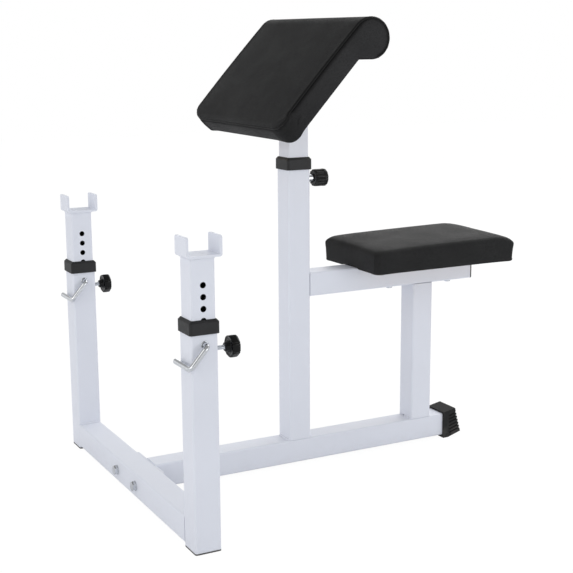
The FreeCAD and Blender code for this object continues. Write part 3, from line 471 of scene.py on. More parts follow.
@dataclass(frozen=True)
class Rubber(Finish):
    """Moulded foot rubber, dull, dusty towards its sole, with painted shade in the grooves of its tread."""

    front: float = 0.3165
    half_width: float = 0.030
    rear: Sequence[float] = (0.3652, 0.268)
    top: Sequence[float] = (-0.00125, 0.1935)
    # depth in the tread past which the grooves take painted shade
    groove: float = 0.0009
    pore_size: float = 0.0007
    pore_depth: float = 0.0001
    bloom_size: float = 0.018
    dust: Colour = (0.07, 0.067, 0.062)
    dust_height: float = 0.022

    def draw(self, sheet: NodeSheet) -> None:
        """Draws a dull skin with dust towards the floor and shade in the grooves.

        Args:
            sheet: The finish's empty sheet.
        """
        place = sheet.place()
        x, y, z = (sheet.axis(place, number) for number in range(3))
        behind = self.rear[0] - z * self.rear[1] - x
        above = x * self.top[1] + self.top[0] - z
        # how deep a point lies in the tread's grooves, for the painted shade there
        depth = (self.half_width - abs(y)).least(behind).least(above).least(x - self.front)
        pores = sheet.noise(place, self.pore_size, 3.0, 0.65)
        bloom = sheet.noise(place, self.bloom_size, 4.0, 0.65)
        low = 1.0 - z.above(self.dust_height, 0.04)
        dust = bloom.above(0.45, 0.35) * (low * 0.6 + 0.12)
        clean = sheet.blend(bloom, self.shade(0.85), self.shade(1.15))
        colour = sheet.blend(dust, clean, self.dust)
        sheet.close(
            # painted shade: deep in the grooves the colour falls to 12% of the rubber's
            Base_Color=sheet.blend(depth.above(self.groove, 0.0008), colour, self.shade(0.12)),
            Roughness=dust * 0.12 + (pores * 0.1 + (self.gloss - 0.05)),
            Normal=sheet.bump(pores, self.pore_depth, 0.5),
            Specular_IOR_Level=0.22,
        )


@dataclass(frozen=True)
class ZincPlate(Finish):
    """Bright zinc plating with a faint passivation tint and fine draw marks."""

    cloud_size: float = 0.016
    crystal_size: float = 0.0011
    mark_size: float = 0.0012
    mark_depth: float = 0.00004

    def draw(self, sheet: NodeSheet) -> None:
        """Draws crystals, draw marks and cloudy tint.

        Args:
            sheet: The finish's empty sheet.
        """
        place = sheet.place()
        cloud = sheet.noise(place, self.cloud_size, 3.0, 0.6)
        crystal = sheet.cells(place, self.crystal_size, "F1")
        marks = sheet.noise(sheet.stretched(place, (6.0, 1.0, 1.0)), self.mark_size, 2.0)
        tint = sheet.blend(cloud.above(0.5, 0.4), self.shade(0.88), self.shade(1.12))
        colour = sheet.blend(crystal * 0.35, tint, self.shade(0.72))
        sheet.close(
            Base_Color=colour,
            Metallic=1.0,
            Roughness=cloud * 0.12 + (marks * 0.10 + (self.gloss - 0.08)),
            Normal=sheet.bump(marks, self.mark_depth, 0.4),
        )


@dataclass(frozen=True)
class Plywood(Finish):
    """Birch plywood: long grain on the faces, thin plies on the edges."""

    ply: float = 0.0024
    grain_size: float = 0.09
    pore_size: float = 0.012
    pore_depth: float = 0.0002

    def draw(self, sheet: NodeSheet) -> None:
        """Draws long grain, pores and the plies' edges.

        Args:
            sheet: The finish's empty sheet.
        """
        place = sheet.place()
        along = sheet.noise(sheet.stretched(place, (1.0, 14.0, 14.0)), self.grain_size, 4.0, 0.6)
        pores = sheet.noise(sheet.stretched(place, (1.0, 22.0, 22.0)), self.pore_size, 2.0)
        plies = sheet.noise(sheet.stretched(place, (1.0, 1.0, 24.0)), self.ply * 12, 0.0)
        wood = sheet.blend(along.above(0.5, 0.35), self.shade(0.72), self.shade(1.12))
        edged = sheet.blend(plies.above(0.55, 0.1) * 0.25, wood, self.shade(0.5))
        colour = sheet.blend(pores.above(0.62, 0.1) * 0.5, edged, self.shade(0.42))
        sheet.close(
            Base_Color=colour,
            Roughness=along * 0.15 + (self.gloss - 0.05),
            Normal=sheet.bump(pores, self.pore_depth, 0.4),
            Specular_IOR_Level=0.3,
        )


@dataclass(frozen=True)
class Thread(Finish):
    """Twisted bonded sewing thread."""

    twist_size: float = 0.0006
    twist_depth: float = 0.0001

    def draw(self, sheet: NodeSheet) -> None:
        """Draws the thread's twist and fuzz.

        Args:
            sheet: The finish's empty sheet.
        """
        place = sheet.place()
        twist = sheet.noise(sheet.stretched(place, (1.0, 1.0, 1.6)), self.twist_size, 1.0)
        sheet.close(
            Base_Color=sheet.blend(twist, self.shade(0.6), self.shade(1.4)),
            Roughness=twist * 0.1 + self.gloss,
            Normal=sheet.bump(twist, self.twist_depth, 0.5),
            Specular_IOR_Level=0.3,
        )


WHITE_PAINT = PowderCoat("white_powder_coat", "white_paint", (0.752, 0.773, 0.845), 0.40)
BLACK_VINYL = Vinyl("black_pebbled_vinyl", "black_vinyl", (0.0265, 0.0266, 0.0270), 0.46)
# lighter copy of the black vinyl for the faces that turn to the lamps: painted light
LIT_BAND_VINYL = Vinyl("lighter_lit_band_vinyl", "black_vinyl", (0.0410, 0.0407, 0.0418), 0.50, shine=0.06)
SEAM_THREAD = Thread("black_sewing_thread", "black_vinyl", (0.005, 0.005, 0.005), 0.60)
GREY_PLASTIC = MouldedPlastic("dark_moulded_plastic", "black_plastic", (0.0160, 0.0160, 0.0170), 0.46)
PLUG_PLASTIC = MouldedPlastic("worn_plug_plastic", "black_plastic", (0.110, 0.107, 0.104), 0.55, shine=0.20)
STAR_PLASTIC = MouldedPlastic(
    "polished_knob_plastic", "black_plastic", (0.0010, 0.0011, 0.0011), 0.15,
    shine=0.24, texture=0.0014, texture_depth=0.00003, rubbed=0.05,
)
PULL_PLASTIC = MouldedPlastic(
    "satin_knob_plastic", "black_plastic", (0.0120, 0.0122, 0.0122), 0.36,
    shine=0.25, texture=0.0012, texture_depth=0.00005, rubbed=0.10,
)
FOOT_RUBBER = Rubber("black_foot_rubber", "black_rubber", (0.0070, 0.0076, 0.0080), 0.60)
BRIGHT_ZINC = ZincPlate("bright_zinc", "zinc_steel", (0.72, 0.74, 0.77), 0.14)
BIRCH_PLY = Plywood("birch_plywood", "plywood", (0.52, 0.37, 0.22), 0.62)


def new_piece(name: str, points: Sequence[Vector], faces: Sequence[Sequence[int]]) -> bpy.types.Object:
    """Makes a smooth-shaded mesh piece with its faces turned outwards.

    Args:
        name: The piece's name.
        points: Corner points, in metres.
        faces: Corner numbers of each face.

    Returns:
        The new object, at the origin.
    """
    mesh = bpy.data.meshes.new(name)
    mesh.from_pydata([tuple(point) for point in points], [], [tuple(face) for face in faces])
    work = bmesh.new()
    work.from_mesh(mesh)
    bmesh.ops.recalc_face_normals(work, faces=work.faces)
    for face in work.faces:
        face.smooth = True
    work.to_mesh(mesh)
    work.free()
    piece = bpy.data.objects.new(name, mesh)
    bpy.context.scene.collection.objects.link(piece)
    return piece


def skin(rings: Sequence[Ring], looped: bool = False) -> tuple[list[Vector], list[list[int]]]:
    """Skins rings of equal length, and caps the two ends unless the rings run in a loop.

    Args:
        rings: The rings, each closed on itself.
        looped: Whether the last ring joins the first.

    Returns:
        Points and faces.
    """
    count = len(rings[0])
    points = [point for ring in rings for point in ring]
    faces = []
    last = len(rings) if looped else len(rings) - 1
    for i in range(last):
        here, there = i * count, (i + 1) % len(rings) * count
        for j in range(count):
            k = (j + 1) % count
            faces.append([here + j, here + k, there + k, there + j])
    if not looped:
        faces.append(list(range(count)))
        faces.append(list(range(len(points) - count, len(points))))
    return points, faces


def settle(piece: bpy.types.Object) -> None:
    """Turns what a piece's modifiers show into its own mesh.

    Args:
        piece: The piece.
    """
    graph = bpy.context.evaluated_depsgraph_get()
    graph.update()
    mesh = bpy.data.meshes.new_from_object(piece.evaluated_get(graph))
    spent = piece.data
    piece.modifiers.clear()
    piece.data = mesh
    bpy.data.meshes.remove(spent)


def dress(piece: bpy.types.Object, finish: Finish, body: str) -> bpy.types.Object:
    """Gives a piece its finish and puts it on a body.

    Args:
        piece: A piece that stands where it belongs.
        finish: Its finish.
        body: The body that it moves with.

    Returns:
        The same piece.
    """
    piece.data.materials.clear()
    piece.data.materials.append(finish.material())
    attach(piece, body)
    LOG.info("piece %s: %s on %s", piece.name, finish.name, body)
    return piece


def arc(centre: Pair, radius: float, start: float, end: float, steps: int) -> list[Pair]:
    """Points along an arc in a plane.

    Args:
        centre: Middle of the arc.
        radius: Its radius.
        start: First angle in degrees.
        end: Last angle in degrees.
        steps: Number of steps.

    Returns:
        Points from the start to the end, both included.
    """
    angles = [math.radians(start + (end - start) * i / steps) for i in range(steps + 1)]
    return [(centre[0] + radius * math.cos(a), centre[1] + radius * math.sin(a)) for a in angles]


def rounding(radius: float, distance: float) -> float:
    """How far a rounded edge has dropped at a distance in from its side.

    Args:
        radius: The edge's radius.
        distance: Distance in from the side.

    Returns:
        The drop, 0 past the rounded edge.
    """
    if distance >= radius:
        return 0.0
    return radius - math.sqrt(radius * radius - (radius - distance) ** 2)


def held(value: float) -> float:
    """A value held between 0 and 1."""
    return min(1.0, max(0.0, value))


@dataclass
class SubAssembly:
    """Pieces that belong together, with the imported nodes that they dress."""

    nodes: dict[str, bpy.types.Object]

    def coat(self, names: Iterable[str], finish: Finish, edge: Edge = Edge.NONE) -> None:
        """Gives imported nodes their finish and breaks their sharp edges.

        Args:
            names: Names of the nodes.
            finish: The finish.
            edge: How its edges are broken, NONE where the node's own corners are round.
        """
        for name in names:
            node = self.nodes[name]
            node.data.materials.clear()
            node.data.materials.append(finish.material())
            LOG.info("node %s: %s", name, finish.name)
            if edge is Edge.NONE:
                continue
            weld = node.modifiers.new("joined_corners", "WELD")
            weld.merge_threshold = 0.00001
            bevel = node.modifiers.new("broken_edges", "BEVEL")
            bevel.width = edge.value
            bevel.segments = 2
            bevel.limit_method = "ANGLE"
            bevel.angle_limit = math.radians(32)
            bevel.use_clamp_overlap = True
            shading = node.modifiers.new("even_shading", "WEIGHTED_NORMAL")
            shading.keep_sharp = False


@dataclass
class WeldBead:
    """A painted fillet weld, rippled where the pool froze."""

    name: str
    body: str
    leg: float = 0.0030
    ripple: float = 0.0026
    step: float = 0.0006
    sunk: float = 0.0004
    fullness: float = 0.86
    crest: float = 0.16
    sway: float = 0.05
    sway_rate: float = 0.031
    end_share: float = 0.35
    end_growth: float = 0.12
    bend_steps: int = 8
    section: Sequence[float] = (0, 22.5, 45, 67.5, 90)

    def straight(self, start: Vector, end: Vector, foot: Vector, rise: Vector) -> bpy.types.Object:
        """Runs along a straight corner.

        Args:
            start: First point of the corner.
            end: Last point of the corner.
            foot: Direction along one of the two surfaces.
            rise: Direction along the other.

        Returns:
            The bead.
        """
        count = max(2, round((end - start).length / self.step))
        path = [(start.lerp(end, i / count), foot, rise) for i in range(count + 1)]
        return self._sweep(path, looped=False)

    def around(
        self, middle: Vector, across: tuple[Vector, Vector], half: Pair, corner: float
    ) -> bpy.types.Object:
        """Runs round a tube that stands on a plate.

        Args:
            middle: Middle of the tube in the plate's surface.
            across: The two directions across the tube.
            half: Half of the tube's size in these directions.
            corner: Radius of the tube's corners.

        Returns:
            The bead.
        """
        first, second = across
        rise = first.cross(second)
        path = []
        for quarter, (a, b) in enumerate(QUARTERS):
            centre = middle + first * (a * (half[0] - corner)) + second * (b * (half[1] - corner))
            for i in range(self.bend_steps + 1):
                turn = math.radians(90 * quarter + 90 * i / self.bend_steps)
                out = first * math.cos(turn) + second * math.sin(turn)
                path.append((centre + out * corner, out, rise))
        dense = []
        for i, (here, out, _) in enumerate(path):
            there, next_out, _ = path[(i + 1) % len(path)]
            count = max(1, round((there - here).length / self.step))
            for k in range(count):
                along = out.lerp(next_out, k / count).normalized()
                dense.append((here.lerp(there, k / count), along, rise))
        return self._sweep(dense, looped=True)

    def _sweep(self, path: Sequence[tuple[Vector, Vector, Vector]], looped: bool) -> bpy.types.Object:
        """Sweeps the bead's rounded section along a path.

        Args:
            path: Points with the directions of the bead's two legs.
            looped: Whether the path closes on itself.

        Returns:
            The bead, painted.
        """
        rings = []
        for i, (point, foot, rise) in enumerate(path):
            beat = (i * self.step / self.ripple) % 1.0
            wave = self.crest * math.sqrt(1.0 - beat) + self.sway * math.sin(i * self.sway_rate)
            size = self.leg * (self.fullness + wave)
            if not looped:
                size *= min(1.0, self.end_share + self.end_growth * min(i, len(path) - 1 - i))
            ring = [point - (foot + rise) * self.sunk]
            for turn in self.section:
                angle = math.radians(turn)
                ring.append(point + (foot * math.cos(angle) + rise * math.sin(angle)) * size)
            rings.append(ring)
        points, faces = skin(rings, looped)
        return dress(new_piece(self.name, points, faces), WHITE_PAINT, self.body)


@dataclass
class FloorFrame(SubAssembly):
    """Crossbar, floor tube and uprights on their feet."""

    weld_inset: float = 0.004
    plate_weld_inset: float = 0.006

    def build(self) -> None:
        """Dresses the floor frame and adds its welds."""
        self.coat(("front_crossbar", "base_tube", "left_upright", "right_upright"), WHITE_PAINT)
        self.coat(("base_end_plate",), WHITE_PAINT, Edge.SAWN)
        self.coat(("left_upright_plug", "right_upright_plug"), PLUG_PLASTIC, Edge.MOULDED)
        self.coat(("crossbar_bolts", "crossbar_nuts"), BRIGHT_ZINC, Edge.BOLT_HEAD)
        self.coat(("crossbar_washers",), BRIGHT_ZINC, Edge.SMALL_STEEL)
        self.coat(("rear_foot_cap",), FOOT_RUBBER, Edge.MOULDED)
        for side in Side:
            self.crossbar_welds(side)
            self.plate_weld(side)

    def crossbar_welds(self, side: Side) -> None:
        """Welds the crossbar to an upright, above and below.

        Args:
            side: The upright's side.
        """
        low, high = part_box("front_crossbar")
        inward = Y_AXIS * -side.sign
        for label, level, way in (("bottom", low.z, -Z_AXIS), ("top", high.z, Z_AXIS)):
            start = Vector((low.x + self.weld_inset, side.sign * high.y, level))
            end = Vector((high.x - self.weld_inset, side.sign * high.y, level))
            WeldBead(f"{side.value}_crossbar_weld_{label}", "frame").straight(start, end, inward, way)

    def plate_weld(self, side: Side) -> None:
        """Welds the end plate to a side of the floor tube.

        Args:
            side: The side.
        """
        low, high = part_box("base_tube")
        start = Vector((low.x, side.sign * high.y, low.z + self.plate_weld_inset))
        end = Vector((low.x, side.sign * high.y, high.z - self.plate_weld_inset))
        WeldBead(f"{side.value}_end_plate_weld", "frame").straight(start, end, Y_AXIS * side.sign, X_AXIS)


@dataclass
class Knob:
    """A moulded knob turned about X, with flats and notches round its grip."""

    name: str
    node: str
    body: str
    finish: Finish
    start: Vector
    profile: Sequence[tuple[float, float, float]]
    lobes: int
    flatness: float
    notch: float
    notch_half: float
    steps: int

    def reach(self, radius: float, share: float, step: int) -> float:
        """Radius of the grip at one of its steps.

        Args:
            radius: Radius before the flats and notches.
            share: How far the flats and notches are worked in, from 0 to 1.
            step: Number of the step round the knob.

        Returns:
            The radius that is left.
        """
        grip = max(size for _, size, _ in self.profile)
        sector = math.pi / self.lobes
        off_corner = abs((step / self.steps + 0.5) % 1.0 - 0.5) * 2 * sector
        flat = math.cos(sector) / math.cos(sector - off_corner)
        sink = self.notch * math.exp(-((off_corner * grip / self.notch_half) ** 2))
        return radius * (1 - self.flatness * share * (1 - flat)) - sink * share

    def build(self) -> bpy.types.Object:
        """Turns the profile with its flats and notches.

        Returns:
            The knob in place of its node.
        """
        count = self.lobes * self.steps
        rings = []
        for along, radius, share in self.profile:
            ring = []
            for step in range(count):
                turn = 2 * math.pi * step / count
                reach = self.reach(radius, share, step)
                ring.append(self.start + Vector((along, reach * math.cos(turn), reach * math.sin(turn))))
            rings.append(ring)
        knob = dress(new_piece(self.name, *skin(rings)), self.finish, self.body)
        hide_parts(self.node)
        return knob


@dataclass
class ThreadedStud:
    """A zinc stud with a real helical thread, along X."""

    name: str
    node: str
    body: str
    radius: float = 0.004
    pitch: float = 0.00125
    depth: float = 0.00062
    chamfer: float = 0.0006
    steps: int = 8
    sides: int = 28

    def build(self) -> bpy.types.Object:
        """Winds the thread over the node's length.

        Returns:
            The stud in place of its node.
        """
        low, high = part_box(self.node)
        middle = (low + high) / 2
        count = round((high.x - low.x) / self.pitch * self.steps)
        rings = []
        for i in range(count + 1):
            x = low.x + (high.x - low.x) * i / count
            from_end = min(i, count - i) / self.steps
            ring = []
            for j in range(self.sides):
                phase = (x / self.pitch - j / self.sides) % 1.0
                height = held(1.35 * (1.0 - abs(2 * phase - 1.0)) - 0.1)
                reach = self.radius - self.depth * (1.0 - height)
                reach -= self.chamfer * max(0.0, 0.9 - from_end)
                turn = 2 * math.pi * j / self.sides
                out = Vector((0, math.cos(turn), math.sin(turn)))
                ring.append(Vector((x, middle.y, middle.z)) + out * reach)
            rings.append(ring)
        stud = dress(new_piece(self.name, *skin(rings)), BRIGHT_ZINC, self.body)
        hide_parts(self.node)
        return stud


@dataclass
class RackSide(SubAssembly):
    """One telescoping side of the rack: post, cradle, collar, lock pin and clamp knob."""

    side: Side
    post: float = 0.045
    post_corner: float = 0.003
    cradle_weld: float = 0.0022
    pin_z: float = 0.377
    bush_steps: int = 40
    bush: Sequence[Pair] = (
        (0.0053, 0.0006), (0.0054, -0.0006), (0.0058, -0.0010), (0.0066, -0.0008), (0.0071, 0.0),
    )
    star_profile: Sequence[Triple] = (
        (0.0000, 0.0005, 0), (0.0000, 0.0058, 0), (0.0001, 0.0070, 0), (0.0008, 0.0079, 0),
        (0.0034, 0.0086, 0), (0.0060, 0.0092, 0), (0.0076, 0.0098, 0), (0.0088, 0.0110, 0),
        (0.0094, 0.0130, 0), (0.0092, 0.0152, 0.3), (0.0086, 0.0172, 0.7), (0.0080, 0.0184, 0.9),
        (0.0080, 0.0194, 1), (0.0086, 0.0203, 1), (0.0098, 0.0208, 1), (0.0120, 0.0210, 1),
        (0.0150, 0.0210, 1), (0.0190, 0.0209, 1), (0.0212, 0.0206, 1), (0.0226, 0.0199, 1),
        (0.0235, 0.0186, 0.9), (0.0239, 0.0166, 0.6), (0.0240, 0.0140, 0.2), (0.0240, 0.0105, 0),
        (0.0238, 0.0094, 0), (0.0232, 0.0089, 0), (0.0229, 0.0070, 0), (0.0228, 0.0005, 0),
    )

    def build(self) -> None:
        """Dresses this side and makes its knob, stud and weld."""
        label = self.side.value
        low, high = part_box(f"{label}_rack_post")
        middle = (low + high) / 2
        paint = PostCoatWithInnerShade(
            f"{label}_post_coat_with_inner_shade", WHITE_PAINT.slot, WHITE_PAINT.colour, WHITE_PAINT.gloss,
            middle=(middle.x, middle.y),
        )
        self.coat((f"{label}_rack_post",), paint)
        self.coat((f"{label}_bar_cradle",), WHITE_PAINT)
        self.coat((f"{label}_upright_collar",), GREY_PLASTIC, Edge.COLLAR)
        self.coat((f"{label}_lock_pin",), BRIGHT_ZINC, Edge.BENT_ROD)
        top = Vector((middle.x, middle.y, high.z))
        half = (self.post / 2, self.post / 2)
        bead = WeldBead(f"{label}_cradle_weld", f"{label}_rack", leg=self.cradle_weld)
        bead.around(top, (X_AXIS, -Y_AXIS), half, self.post_corner)
        self.pin_bush()
        self.knob()
        ThreadedStud(f"{label}_threaded_stud", f"{label}_clamp_stud", f"{label}_clamp").build()

    def pin_bush(self) -> bpy.types.Object:
        """Makes the thin metal bush round the lock pin's hole in the upright.

        Returns:
            The bush.
        """
        low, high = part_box(f"{self.side.value}_upright")
        middle = Vector(((low.x + high.x) / 2, low.y, self.pin_z))
        rings = []
        for i in range(self.bush_steps):
            turn = 2 * math.pi * i / self.bush_steps
            out = Vector((math.cos(turn), 0, math.sin(turn)))
            rings.append([middle + out * reach + Y_AXIS * rise for reach, rise in self.bush])
        bush = new_piece(f"{self.side.value}_pin_bush", *skin(rings, looped=True))
        return dress(bush, BRIGHT_ZINC, "frame")

    def knob(self) -> bpy.types.Object:
        """Makes the star knob.

        Returns:
            The knob.
        """
        label = self.side.value
        low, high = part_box(f"{label}_clamp_knob")
        start = Vector((low.x, (low.y + high.y) / 2, (low.z + high.z) / 2))
        return Knob(
            f"{label}_star_knob", f"{label}_clamp_knob", f"{label}_clamp", STAR_PLASTIC, start,
            self.star_profile, lobes=7, flatness=0.9, notch=0.0021, notch_half=0.0012, steps=36,
        ).build()


@dataclass
class Column(SubAssembly):
    """The fixed column with its collar and the spring plunger behind it."""

    weld_half: float = 0.021
    plunger_z: float = 0.605
    plunger_weld: float = 0.0022
    barrel_half: float = 0.008
    barrel_corner: float = 0.0079
    pull_profile: Sequence[Triple] = (
        (0.0124, 0.0005, 0), (0.0124, 0.0060, 0), (0.0122, 0.0085, 0), (0.0030, 0.0086, 0),
        (0.0006, 0.0087, 0), (0.0000, 0.0092, 0), (0.0000, 0.0140, 0), (0.0001, 0.0158, 0.4),
        (0.0006, 0.0169, 0.8), (0.0018, 0.0175, 1), (0.0050, 0.0177, 1), (0.0100, 0.0177, 1),
        (0.0150, 0.0177, 1), (0.0186, 0.0177, 1), (0.0196, 0.0177, 0.8), (0.0202, 0.0179, 0.4),
        (0.0210, 0.0180, 0.3), (0.0256, 0.0180, 0.3), (0.0268, 0.0178, 0.3), (0.0275, 0.0172, 0.2),
        (0.0279, 0.0160, 0), (0.0280, 0.0120, 0), (0.0280, 0.0070, 0), (0.0280, 0.0005, 0),
    )

    def build(self) -> None:
        """Dresses the column and makes its welds and pull knob."""
        self.coat(("main_column",), WHITE_PAINT)
        self.coat(("column_collar",), GREY_PLASTIC, Edge.COLLAR)
        self.coat(("pop_pin_barrel", "pop_pin_plunger", "pop_pin_spring"), BRIGHT_ZINC, Edge.SMALL_STEEL)
        low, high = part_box("main_column")
        for label, x, out in (("front", low.x, -X_AXIS), ("back", high.x, X_AXIS)):
            start, end = (Vector((x, y, low.z)) for y in (-self.weld_half, self.weld_half))
            WeldBead(f"column_{label}_weld", "frame").straight(start, end, out, Z_AXIS)
        middle = Vector((high.x, 0, self.plunger_z))
        half = (self.barrel_half, self.barrel_half)
        bead = WeldBead("plunger_weld", "frame", leg=self.plunger_weld)
        bead.around(middle, (Y_AXIS, Z_AXIS), half, self.barrel_corner)
        self.knob()

    def knob(self) -> bpy.types.Object:
        """Makes the fluted pull knob.

        Returns:
            The knob.
        """
        low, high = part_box("pop_pin_knob")
        start = Vector((low.x, (low.y + high.y) / 2, (low.z + high.z) / 2))
        return Knob(
            "pull_knob", "pop_pin_knob", "pop_pin", PULL_PLASTIC, start, self.pull_profile,
            lobes=12, flatness=0.0, notch=0.0024, notch_half=0.0019, steps=18,
        ).build()


@dataclass
class Cushion(SubAssembly):
    """A stuffed pad: its cover is blown up as cloth, then sewn or pleated."""

    name: str
    node: str
    body: str
    voxel: float = 0.006
    pressure: float = 4.0
    most: float = 0.0032
    frames: int = 20
    pucker_reach: float = 0.016
    thread: float = 0.00036
    thread_lift: float = 0.0004

    def cover(self) -> bpy.types.Object:
        """The cover before it is stuffed, in the pad's own axes."""
        raise NotImplementedError

    def rests(self, point: Vector) -> bool:
        """Whether a point lies on what carries the pad."""
        raise NotImplementedError

    def sewn(self, piece: bpy.types.Object) -> list[Vector]:
        """Points along which the cover is held by a seam."""
        return []

    def sew(self, piece: bpy.types.Object) -> None:
        """Adds the pad's seams or pleats."""
        raise NotImplementedError

    def place(self, piece: bpy.types.Object) -> None:
        """Moves a piece from the pad's own axes to the bench; here it leaves the piece where it stands."""

    @staticmethod
    def tree(points: Sequence[Vector]) -> KDTree:
        """Puts points in a form that finds the nearest one.

        Args:
            points: The points.

        Returns:
            The points' tree, numbered as they came.
        """
        found = KDTree(max(1, len(points)))
        for i, point in enumerate(points):
            found.insert(point, i)
        found.balance()
        return found

    @staticmethod
    def surface(piece: bpy.types.Object) -> BVHTree:
        """Puts a piece's surface in a form that can be cast onto.

        Args:
            piece: The piece.

        Returns:
            The surface's tree.
        """
        points = [vertex.co for vertex in piece.data.vertices]
        faces = [tuple(face.vertices) for face in piece.data.polygons]
        return BVHTree.FromPolygons(points, faces)

    @staticmethod
    def spaced(path: Sequence[Vector], pitch: float) -> list[Vector]:
        """Points at an even pitch along a path.

        Args:
            path: The path's points.
            pitch: Distance between the new points.

        Returns:
            The new points.
        """
        points = [path[0].copy()]
        left = pitch
        for here, there in zip(path, path[1:]):
            length = (there - here).length
            done = 0.0
            while length - done >= left:
                done += left
                points.append(here.lerp(there, done / length))
                left = pitch
            left -= length - done
        return points

    def even_shell(self, piece: bpy.types.Object) -> bpy.types.Object:
        """Copies the cover and divides the copy evenly for the cloth.

        Args:
            piece: The cover.

        Returns:
            The even copy.
        """
        shell = bpy.data.objects.new(f"{self.name}_shell", piece.data.copy())
        bpy.context.scene.collection.objects.link(shell)
        even = shell.modifiers.new("even_faces", "REMESH")
        even.mode = "VOXEL"
        even.voxel_size = self.voxel
        ease = shell.modifiers.new("eased_faces", "SMOOTH")
        ease.factor = 0.5
        ease.iterations = 2
        settle(shell)
        return shell

    def stuff(self, piece: bpy.types.Object) -> None:
        """Blows the cover up as cloth, held at its seams and where it rests.

        Args:
            piece: The cover.
        """
        shell = self.even_shell(piece)
        start = [vertex.co.copy() for vertex in shell.data.vertices]
        seam = self.sewn(piece)
        line = self.tree(seam)
        fixed = shell.vertex_groups.new(name="held")
        for i, point in enumerate(start):
            if self.rests(point) or (seam and line.find(point)[2] < self.voxel):
                fixed.add([i], 1.0, "REPLACE")
        cloth = shell.modifiers.new("stuffing", "CLOTH")
        cloth.settings.quality = 6
        cloth.settings.mass = 0.3
        cloth.settings.use_pressure = True
        cloth.settings.uniform_pressure_force = self.pressure
        cloth.settings.vertex_group_mass = fixed.name
        cloth.settings.effector_weights.gravity = 0.0
        cloth.collision_settings.use_collision = False
        cloth.point_cache.frame_start = 1
        cloth.point_cache.frame_end = self.frames
        scene = bpy.context.scene
        for frame in range(1, self.frames + 1):
            scene.frame_set(frame)
        settle(shell)
        scene.frame_set(1)
        moves = [vertex.co - before for vertex, before in zip(shell.data.vertices, start)]
        longest = max(move.length for move in moves)
        LOG.info("%s swells by up to %.1f mm, eased to %.1f", self.name, 1000 * longest, 1000 * self.most)
        moves = [move * min(1.0, self.most / longest) for move in moves]
        self.follow(piece, self.tree(start), moves)
        spent = shell.data
        bpy.data.objects.remove(shell)
        bpy.data.meshes.remove(spent)

    @staticmethod
    def follow(piece: bpy.types.Object, tree: KDTree, moves: Sequence[Vector]) -> None:
        """Moves the cover as the cloth beside it has moved.

        Args:
            piece: The cover.
            tree: Where the cloth's points started.
            moves: How far each of them has moved.
        """
        neighbours, evenness = 7, 0.002
        for vertex in piece.data.vertices:
            total = Vector((0.0, 0.0, 0.0))
            weight = 0.0
            for _, i, distance in tree.find_n(vertex.co, neighbours):
                share = 1.0 / (distance * distance + evenness * evenness)
                total += moves[i] * share
                weight += share
            vertex.co += total / weight

    def pucker(self, piece: bpy.types.Object, path: Sequence[Vector], pitch: float, height: float) -> None:
        """Puckers the cover beside a seam, as a tight thread does.

        Args:
            piece: The cover.
            path: The seam.
            pitch: Distance between the puckers.
            height: Their height at the seam.
        """
        step = 0.002
        wander, wander_rate = 1.3, 37.0
        line = self.tree(self.spaced(path, step))
        for vertex in piece.data.vertices:
            _, i, distance = line.find(vertex.co)
            if distance < self.pucker_reach:
                along = i * step
                phase = 2 * math.pi * along / pitch + wander * math.sin(along * wander_rate)
                fade = (1 - distance / self.pucker_reach) ** 1.5
                vertex.co += vertex.normal * (height * math.sin(phase) * fade)

    def press(self, piece: bpy.types.Object, path: Sequence[Vector], depth: float, reach: float) -> None:
        """Presses a groove into the cover along a path, fading out at the path's last point.

        Args:
            piece: The cover.
            path: The groove's line.
            depth: Its depth.
            reach: Half of its width.
        """
        step, fade_rate = 0.0015, 3.0
        points = self.spaced(path, step)
        line = self.tree(points)
        for vertex in piece.data.vertices:
            _, i, distance = line.find(vertex.co)
            if distance < reach:
                share = 1.0 - (distance / reach) ** 2
                fade = min(1.0, fade_rate * (1.0 - i / len(points)))
                vertex.co -= vertex.normal * (depth * share * share * fade)

    @staticmethod
    def cord(name: str, path: Sequence[Vector], radius: float, sides: int = 8) -> bpy.types.Object:
        """Makes a thin round cord along a path.

        Args:
            name: The piece's name.
            path: The cord's middle line.
            radius: Its radius.
            sides: Number of its sides.

        Returns:
            The cord.
        """
        rings = []
        turns = [2 * math.pi * j / sides for j in range(sides)]
        aside = Vector((0.31, 0.17, 0.93))
        for i, point in enumerate(path):
            along = (path[min(i + 1, len(path) - 1)] - path[max(i - 1, 0)]).normalized()
            aside = (aside - along * aside.dot(along)).normalized()
            up = along.cross(aside)
            rings.append([point + (aside * math.cos(t) + up * math.sin(t)) * radius for t in turns])
        return new_piece(name, *skin(rings))

    def stitches(
        self, name: str, rows: Sequence[tuple[Vector, Vector, Vector]], length: float
    ) -> bpy.types.Object:
        """Makes a row of sewn stitches.

        Args:
            name: The piece's name.
            rows: Place, direction and outward normal of each stitch.
            length: Length of a stitch.

        Returns:
            All the stitches as one piece.
        """
        points: list[Vector] = []
        faces: list[list[int]] = []
        ends = (0.5, 0.35, -0.5), (0.36, 0.9, 0.2)
        sections = [(-share, size, lift) for share, size, lift in ends] + [(0.0, 1.0, 0.45), *ends[::-1]]
        turns = [math.pi * j / 3 for j in range(6)]
        for place, along, out in rows:
            aside = along.cross(out).normalized()
            rings = []
            for share, size, lift in sections:
                middle = place + along * (share * length) + out * (lift * self.thread_lift)
                radius = self.thread * size
                rings.append([middle + (aside * math.cos(t) + out * math.sin(t)) * radius for t in turns])
            more, sides = skin(rings)
            faces += [[corner + len(points) for corner in face] for face in sides]
            points += more
        return new_piece(name, points, faces)

    def build(self) -> bpy.types.Object:
        """Makes the whole cushion.

        Returns:
            The cushion in place of its node.
        """
        piece = self.cover()
        self.stuff(piece)
        self.sew(piece)
        self.place(piece)
        dress(piece, BLACK_VINYL, self.body)
        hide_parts(self.node)
        return piece


